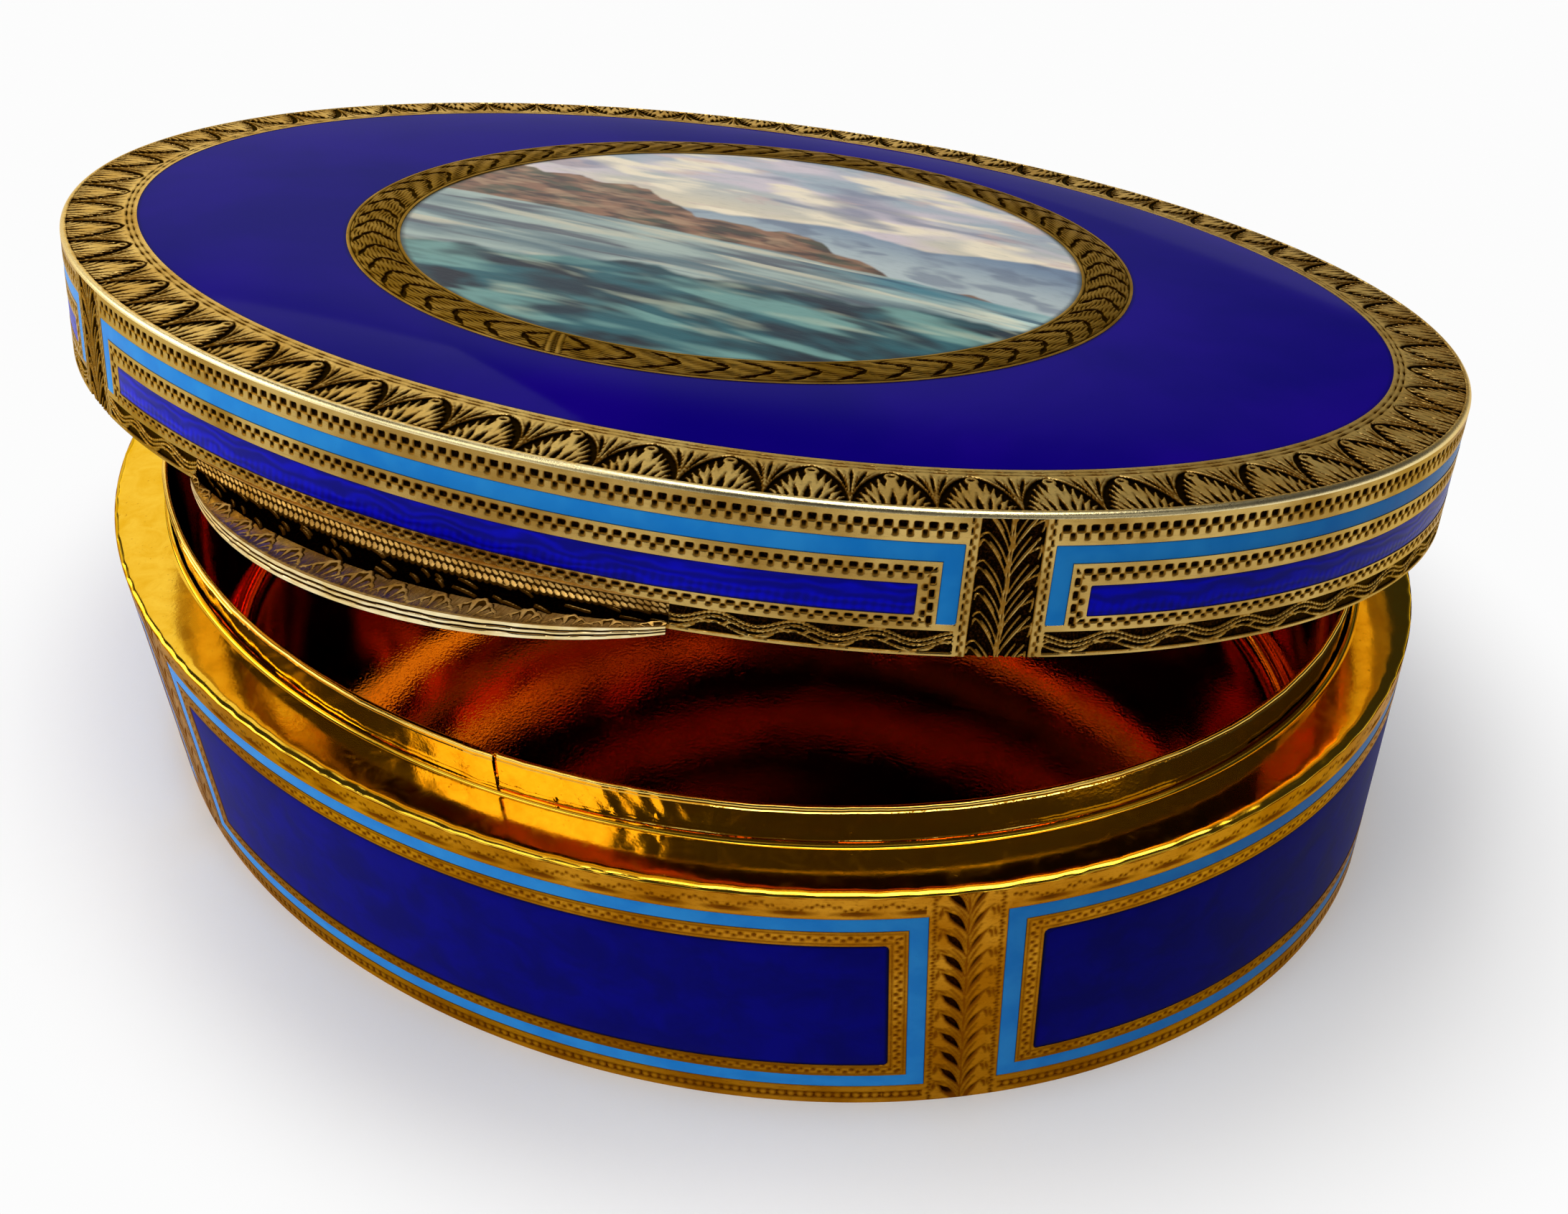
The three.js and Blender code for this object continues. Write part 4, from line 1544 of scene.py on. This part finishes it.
print("ledge and linings")
ledgeMesh = loopMesh("base_ledge_polished", ovalLoops(ledgeProfile, 720, ledgeRipple), True)
addPiece("base_ledge_polished", ledgeMesh, mirrorGold, "base", ["base_ledge"])
columns, coreShares = lining["columns"], lining["coreShares"]
bezelMesh = shellMesh(
    "base_bezel_liner", bezelProfile, coreShares, columns, ripple=bezelRipple, extra=seamColumns)
addPiece("base_bezel_liner", bezelMesh, innerGold, "base", ["base_liner"])

underside = {    # a plate with a raised rim and two turned lines
    "columns": 360,
    "inset": 0.3,
    "top": 1.2,
    "rim": 4.0,
    "level": 0.3,
    "lines": (3.0, 4.2),    # where they start, from the rim
    "lineProfile": ((0, 0.0), (0.1, 0.08), (0.3, 0.08), (0.4, 0.0)),
    "shares": (0.9, 0.7, 0.5, 0.3, 0.1, 0.01),
}
inset, rimIn, level = underside["inset"], underside["rim"], underside["level"]
underProfile = [(-inset, underside["top"]), (-inset, 0.12), (-inset - 0.25, 0.0)]
underProfile += [(-rimIn + level, 0.0), (-rimIn, level)]
for start in underside["lines"]:
    underProfile += [(-rimIn - start - away, level + deep) for away, deep in underside["lineProfile"]]
underMesh = shellMesh("base_underside", underProfile, underside["shares"], underside["columns"])
addPiece("base_underside", underMesh, hingeGold, "base", ["base_floor"])

lidTray = {    # a turned-in rim that sleeves the bezel, and a ceiling
    "sleeve": sheet["ledgeWidth"] - sheet["bezelClearance"],
    "ceiling": nodeBox("lid_liner")[1][2] - sheet["liner"],
    "footRound": 0.3,
    "topRound": 1.6,
}
sleeve, ceiling = lidTray["sleeve"], lidTray["ceiling"]
footRound, topRound = lidTray["footRound"], lidTray["topRound"]
outer = sheet["wall"] - 0.1
rimFoot = lidFoot + 0.02
trayProfile = [(-outer, ceiling + sheet["liner"]), (-outer, lidFoot + 0.15), (-outer - 0.2, rimFoot)]
trayProfile += [(-sleeve + footRound, rimFoot)]
trayProfile += rounded((-sleeve + footRound, rimFoot + footRound), footRound, 270, 180, 5)
trayProfile += [(-sleeve, lidFoot + 2), (-sleeve, lidFoot + 5)]
trayProfile += rounded((-sleeve - topRound, ceiling - topRound), topRound, 0, 90, 7)
trayMesh = shellMesh("lid_lining", trayProfile, coreShares, columns, "lid")
addPiece("lid_lining", trayMesh, innerGold, "lid", ["lid_liner"])


# Thumb-piece: a hollowed lip under a fan of leaves, with a rim of three lines

thumb = {
    "middle": walkTo(358) - perimeter,
    "turn": -2.0,    # degrees of the ellipse, the same place as the middle
    "halfSpan": 18.7,    # degrees of the ellipse to either end
    "reach": 6.77,
    "endReach": 0.8,
    "gap": 0.05,
    "drop": 0.7,
    "rim": 1.4,
    "top": 2.4,
    "scallop": 3.4,
    "strand": 0.62,
    "ropes": (4.35, 5.3),
    "back": 0.3,    # how far the hollow's piece reaches into the wall
    "cove": 6.0,    # about the way from the rim up the hollow to the wall
    "glintPitch": 2.3,
    "step": 0.14,
}


def thumbShape(s):    # how far it stands out there, and the rim's lower and upper edge
    turn = np.interp((s + perimeter) % perimeter, walked, turnTable)
    turn = np.degrees((turn + math.pi) % (2 * math.pi) - math.pi)
    share = np.clip((turn - thumb["turn"]) / thumb["halfSpan"], -1, 1)
    reach = thumb["endReach"] + (thumb["reach"] - thumb["endReach"]) * (1 - share ** 2)
    ends = np.abs(share) ** 3
    low = lidFoot - thumb["drop"] * (1 - 0.85 * ends)
    return reach, low, low + thumb["rim"] * (1 - 0.5 * ends)


def thumbPlace(s, v, out):
    # v: 0 to 1 under the lip, 1 to 2 up the rim, 2 to 3 up the hollow to the wall
    reach, low, rimTop = thumbShape(s)
    climb = np.clip(v - 2, 0, 1) * math.pi / 2
    hollowOut = reach * (1 - np.sin(climb) * 0.97)
    hollowZ = rimTop + (lidFoot + thumb["top"] - rimTop) * (1 - np.cos(climb))
    under = np.clip(v, 0, 1)
    up = np.clip(v - 1, 0, 1)
    lip = thumb["gap"] + (reach - thumb["gap"]) * under

    def parts(below, onRim, inHollow):
        return np.where(v < 1, below, np.where(v < 2, onRim, inHollow))

    offset = parts(lip, reach, hollowOut) + out * parts(0.0, 1.0, np.cos(climb) * 0.3)
    z = parts(low, low + (rimTop - low) * up, hollowZ)
    faceUp = parts(-1.0, 0.0, 0.95)
    return beside(s, offset, z + out * faceUp)


def thumbCove(s, v):    # leaf edges above the rim, a hollow painted dark as shade, two rows of rope by the wall
    away = s - thumb["middle"]
    w = (v - 2) * thumb["cove"]
    cell = np.floor(away / thumb["scallop"] + 0.5)
    u = away - cell * thumb["scallop"] - 0.3 * byHand(cell, 1)
    crest = 1.9 + 0.25 * byHand(cell, 2) - 0.6 * np.abs(u) ** 1.4 + 0.07 * np.sin(9.0 * u)
    leaf = w - crest
    veins = np.abs((u / (0.6 + w) * 1.9 + 0.2 * byHand(cell, 5)) % 1 - 0.5) - 0.1 - 0.05 * w
    veins = np.where(leaf < 0, veins, 1.0)
    ridges = [np.abs(leaf + 0.04) - 0.13, veins, np.abs(w - 0.1) - 0.1]
    glint = np.floor(away / thumb["glintPitch"])
    x = away - (glint + 0.5) * thumb["glintPitch"]
    for channel in range(2):    # stray glints in the hollow
        up = w - 3.0 - 0.9 * byHand(glint, channel)
        lean = (x - 0.9 * byHand(glint, channel + 6)) * (1 + 0.5 * byHand(glint, channel + 3))
        ridges.append(blade(lean, up, (0.7, -0.25), (0.1, 0.15), (-0.6, 0.25), 0.09, 0.5))
    for row in thumb["ropes"]:
        bead = ((away + 0.55 * (w - row)) / thumb["strand"]) % 1 - 0.5
        ridges.append(np.hypot(bead * thumb["strand"] * 1.15, (w - row) * 0.66) - 0.27)
    ridges.append(5.85 - w)
    ridge = np.minimum.reduce(ridges)
    # The hollow is cut deeper than the leaves, so the cuts' painted shade turns it near black.
    depth = np.where(leaf < 0, 0.13, 0.26) * sink(-ridge, 0.2)
    return -ridge, depth * np.clip((3 - v) / 0.06, 0, 1)


def thumbLines(s, v):    # three lines along the rim
    up = (v - 1) * thumb["rim"]
    waver = 0.03 * np.sin(0.8 * s) + 0.02 * np.sin(2.1 * s)
    lines = np.minimum(np.abs(up - 0.48 - waver) - 0.11, np.abs(up - 0.95 - waver) - 0.11)
    onRim = (v > 1.05) & (v < 1.98)
    return within(onRim, (lines, 0.2 * sink(lines, 0.1)))


thumbStart = walkTo(360 + thumb["turn"] - thumb["halfSpan"]) - perimeter
thumbEnd = walkTo(thumb["turn"] + thumb["halfSpan"])
thumbAlong = np.linspace(thumbStart, thumbEnd, round((thumbEnd - thumbStart) / thumb["step"]))


def thumbMesh(name, rows, ornament, back):    # a strip of the thumb-piece, its back by the wall
    s, v = np.meshgrid(thumbAlong, rows, indexing="ij")
    cut, depth = ornament(s, v)
    face = thumbPlace(s, v, -depth)
    corners = [beside(thumbAlong, out, z) for out, z in back]
    loops = np.concatenate([face, np.stack(corners, 1)], 1)
    extra = ((0, 0), (0, len(back)))
    engraving = np.pad(np.stack([s, v * 4, cut], -1), (*extra, (0, 0)), "edge")
    return loopMesh(name, loops, False, engraving, "lid", np.pad(depth, extra, "edge"))


print("thumb-piece")
rimRows = np.concatenate([np.linspace(0, 0.96, 5), [1.0, 1.04], np.linspace(1.08, 1.96, 18), [2.0]])
coveRows = np.linspace(2.0, 3.0, 64)
rimTop = thumbShape(thumbAlong)[2]
rimMesh = thumbMesh("lid_thumb_rim", rimRows, thumbLines, [(thumb["gap"], rimTop)])
addPiece("lid_thumb_rim", rimMesh, rimGold, "lid", ["thumb_piece"])
coveBack = [(-thumb["back"], lidFoot + thumb["top"]), (-thumb["back"], rimTop)]
coveMesh = thumbMesh("lid_thumb_cove", coveRows, thumbCove, coveBack)
addPiece("lid_thumb_cove", coveMesh, coveGold, "lid", ["thumb_piece"])


# Hinge at the back

hinge = {
    "length": 44.0,
    "knuckles": 7,
    "gap": 0.25,
    "barrel": 2.0,
    "inset": 0.25,    # how far the leaves reach into the wall
    "clearance": 0.25,
    "seam": 0.3,
    "baseLeaf": 2.85,
    "lidLeaf": 2.15,
    "pin": 1.1,
    "head": 1.75,
    "headLength": 0.8,
    "knuckleEnd": (    # from its end inwards, and how far it is turned down there
        (0.0, 0.18), (0.18, 0.0), (0.9, 0.0), (1.0, 0.1), (1.1, 0.0),
    ),
}


def backOval(x):
    return semiShort * np.sqrt(1 - (x / semiLong) ** 2)


def hingeSection(x, shrink, own, leaf, sense):
    # the leaf's outline above or below the pin, with a barrel on it or a hollow for the other's
    radius = hinge["barrel"] + (-shrink if own else hinge["clearance"])
    near = hinge["seam"]    # the leaf's edge by the seam
    far = near + leaf - shrink
    inside = backOval(x) - hinge["inset"]
    seamTurn = math.degrees(math.asin(near / radius))
    turns = np.radians(np.linspace(90, seamTurn - 180 if own else 180 - seamTurn, 25))
    arc = [(hingeY + radius * math.cos(turn), radius * math.sin(turn)) for turn in turns]
    outline = [(inside, near), (inside, far), (hingeY - shrink, far)]
    outline += arc if own else [(hingeY - shrink, radius)] + arc
    return [(x, y, hingeZ + sense * height) for y, height in outline]


def hingeMesh(body, sense):    # one leaf, knuckle by knuckle
    pitch = (hinge["length"] + hinge["gap"]) / hinge["knuckles"]
    meshes = []
    for index in range(hinge["knuckles"]):
        own = (index % 2 == 0) == (body == "base")
        middle = (index - (hinge["knuckles"] - 1) / 2) * pitch
        half = (pitch - hinge["gap"]) / 2 if own else (pitch + hinge["gap"]) / 2
        end = hinge["knuckleEnd"] if own else ((0.0, 0.0), (half / 2, 0.0))
        stations = [(place - half, shrink) for place, shrink in end]
        stations += [(0.0, 0.0)] + [(-place, shrink) for place, shrink in stations[::-1]]
        loops = [
            hingeSection(middle + place, shrink, own, hinge[f"{body}Leaf"], sense)
            for place, shrink in stations
        ]
        meshes.append(loopMesh(f"{body}_{index}", np.array(loops), False, None, body))
    return merged(f"hinge_{body}", meshes)


def merged(name, meshes):
    groups, corners, first = [], [], 0
    for mesh in meshes:
        place = np.zeros(len(mesh.vertices) * 3, np.float32)
        mesh.vertices.foreach_get("co", place)
        corners.append(place.reshape(-1, 3) / mm)
        for face in mesh.polygons:
            groups.append(np.array([face.vertices[:]]) + first)
        first += len(mesh.vertices)
        bpy.data.meshes.remove(mesh)
    return writeMesh(name, np.concatenate(corners), groups)


print("hinge")
for body, sense in (("base", -1), ("lid", 1)):
    leaf = hingeMesh(body, sense)
    addPiece(f"hinge_{body}", leaf, hingeGold, body, [f"hinge_leaf_{body}"])

headStart = hinge["length"] / 2 + hinge["gap"]
headEnd = headStart + hinge["headLength"]
head = hinge["head"]
headProfile = [(headStart, hinge["pin"]), (headStart, head - 0.1), (headStart + 0.12, head)]
headProfile += [(headEnd - 0.35, head), (headEnd - 0.12, head * 0.8)]
headProfile += [(headEnd, head * 0.45), (headEnd, 0.05)]
pinProfile = [(-place, radius) for place, radius in headProfile[::-1]] + headProfile
along, radius = np.array(pinProfile).T[:, :, None]
turns = np.linspace(0, 2 * math.pi, 40, endpoint=False)
pinY, pinZ = hingeY + radius * np.cos(turns), hingeZ + radius * np.sin(turns)
pinMesh = loopMesh("hinge_pin_domed", points(along, pinY, pinZ), False)
addPiece("hinge_pin_domed", pinMesh, hingeGold, "base", ["hinge_pin"])


# Floor, light and camera

studio = {
    "floor": tone(250, 250, 250),
    "grain": tone(242, 242, 242),
    "grainShare": 0.1,
    "glow": tone(252, 252, 252),    # the evenly white distance
    "glowReach": (1.1, 1.5),    # in the box's own lengths and widths from its middle
    "rings": (2, 100, 300, 800, 3000),
    "drop": 0.02,
    "thick": 10,
    "dimReach": (15, 115),    # mm to the right, where the floor throws less light on the box
    "dimShare": 0.87,
    "left": (0.96, 0.95, 0.93, 1.0),    # the room above the horizon
    "right": (0.14, 0.14, 0.15, 1.0),
    "above": (0.035, 0.035, 0.04, 1.0),
    "horizon": (0.92, 0.92, 0.92, 1.0),
    "turn": (-0.6, 0.15),    # from the left to the right of the room, -1 to 1
    "horizonTurn": (-0.45, 0.05),
    "climb": (0.1, 0.44),    # from the room's walls to what is above
    "horizonClimb": (0.1, 0.3),
}


def makeFloor():
    turn = np.linspace(0, 2 * math.pi, 96, endpoint=False)
    radii = np.array([*studio["rings"], studio["rings"][-1]])[:, None]
    heights = np.full(radii.shape, -studio["drop"])
    heights[-1] = -studio["thick"]
    mesh = loopMesh("floor", points(radii * np.cos(turn), radii * np.sin(turn), heights), False)
    material, shader = newMaterial("floor_paper")
    where = shader.place()
    grain = shader.noise(where, 0.6, 3.0, 0.6)
    paper = shader.node("BsdfPrincipled", None, {
        "Base Color": shader.mix(grain * studio["grainShare"], studio["floor"], studio["grain"]),
        "Roughness": 0.85,
        "Specular IOR Level": 0.1,
    })
    glow = shader.node("Emission", None, {"Color": studio["glow"], "Strength": 1.0})
    reach = (1 / semiLong, 1 / semiShort, 0)
    shares = shader.out(shader.node("VectorMath", {"operation": "MULTIPLY"}, {0: where, 1: reach}))
    away = shader.out(shader.node("VectorMath", {"operation": "LENGTH"}, {0: shares}), "Value")
    path = shader.node("LightPath")
    mirrored = shader.out(path, "Is Glossy Ray") + shader.out(path, "Is Transmission Ray")
    seen = shader.out(path, "Is Camera Ray") + mirrored
    far = shader.rise(away, *studio["glowReach"]) * seen
    both = shader.node("MixShader", None, {0: far, 1: shader.out(paper), 2: shader.out(glow)})
    dim = shader.rise(shader.split(where)[0], *studio["dimReach"]) * studio["dimShare"] * (1 - seen)
    dark = shader.node("Emission", None, {"Color": tone(0, 0, 0), "Strength": 0.0})
    lit = shader.node("MixShader", None, {0: dim, 1: shader.out(both), 2: shader.out(dark)})
    shader.node("OutputMaterial", None, {"Surface": shader.out(lit)})
    mesh.materials.append(material)
    floor = bpy.data.objects.new("floor", mesh)
    bpy.context.scene.collection.objects.link(floor)


def makeWorld():
    world = bpy.data.worlds.new("studio")
    bpy.context.scene.world = world
    world.use_nodes = True
    shader = Shader(world.node_tree)
    direction = shader.out(shader.node("TexCoord"), "Generated")
    sideways, upwards = shader.split(direction)[::2]
    room = shader.blend(sideways, *studio["turn"], studio["left"], studio["right"])
    room = shader.blend(upwards, *studio["climb"], room, studio["above"])
    camera = shader.out(shader.node("LightPath"), "Is Camera Ray")
    dim = shader.rise(sideways, *studio["horizonTurn"]) * (1 - camera)
    horizon = shader.mix(dim, studio["horizon"], studio["right"])
    colour = shader.blend(upwards, *studio["horizonClimb"], horizon, room)
    back = shader.node("Background", None, {"Color": colour, "Strength": 1.0})
    shader.node("OutputWorld", None, {"Surface": shader.out(back)})


def addLamp(name, place, target, size, power, colour):
    data = bpy.data.lights.new(name, "AREA")
    data.shape = "RECTANGLE"
    data.size, data.size_y = size
    data.energy = power
    data.color = colour
    lamp = bpy.data.objects.new(name, data)
    bpy.context.scene.collection.objects.link(lamp)
    lamp.location = place
    lamp.rotation_mode = "QUATERNION"
    lamp.rotation_quaternion = (Vector(target) - Vector(place)).to_track_quat("-Z", "Y")


lamps = {    # place, what it points at, size, watts and colour
    "front": ((-0.58, -0.9, 1.02), (0, 0, 0.02), (0.66, 0.8), 2.8, (1.0, 0.98, 0.95)),
    "left": ((-1.0, -0.3, 0.42), (0, 0, 0.02), (0.8, 0.5), 4.2, (1.0, 0.98, 0.95)),
    "backLeft": ((-0.75, 0.55, 0.72), (0, 0, 0.02), (0.8, 0.8), 2.1, (1.0, 0.98, 0.95)),
    "top": ((0.14, 0.0, 1.25), (0.05, 0, 0), (0.9, 0.9), 11.2, (1.0, 1.0, 1.0)),
    "right": ((0.8, -0.3, 0.5), (0, 0, 0.02), (0.4, 0.4), 0.2, (1.0, 1.0, 1.0)),
}

view = {
    "azimuth": 25.04,
    "elevation": 39.93,
    "roll": -1.15,
    "distance": 0.20909,
    "target": (0.01041, 0.0003, 0.0183),
    "lens": 41.03,
    "sensor": 36,
    "shift": (-0.02482, -0.01367),
}


def makeCamera():
    turn, lift, roll = (math.radians(view[key]) for key in ("azimuth", "elevation", "roll"))
    back = Vector((math.sin(turn) * math.cos(lift), -math.cos(turn) * math.cos(lift), math.sin(lift)))
    right = Vector((math.cos(turn), math.sin(turn), 0))
    up = back.cross(right)
    rolledRight = right * math.cos(roll) + up * math.sin(roll)
    rolledUp = up * math.cos(roll) - right * math.sin(roll)
    data = bpy.data.cameras.new("camera")
    data.lens = view["lens"]
    data.sensor_width = view["sensor"]
    data.shift_x, data.shift_y = view["shift"]
    data.clip_start = 0.01
    camera = bpy.data.objects.new("camera", data)
    bpy.context.scene.collection.objects.link(camera)
    turned = Matrix((rolledRight, rolledUp, back)).transposed().to_4x4()
    turned.translation = Vector(view["target"]) + back * view["distance"]
    camera.matrix_world = turned
    bpy.context.scene.camera = camera


print("floor, light and camera")
makeFloor()
makeWorld()
for name, lamp in lamps.items():
    addLamp(name, *lamp)
makeCamera()
bpy.context.scene.view_settings.view_transform = "Standard"
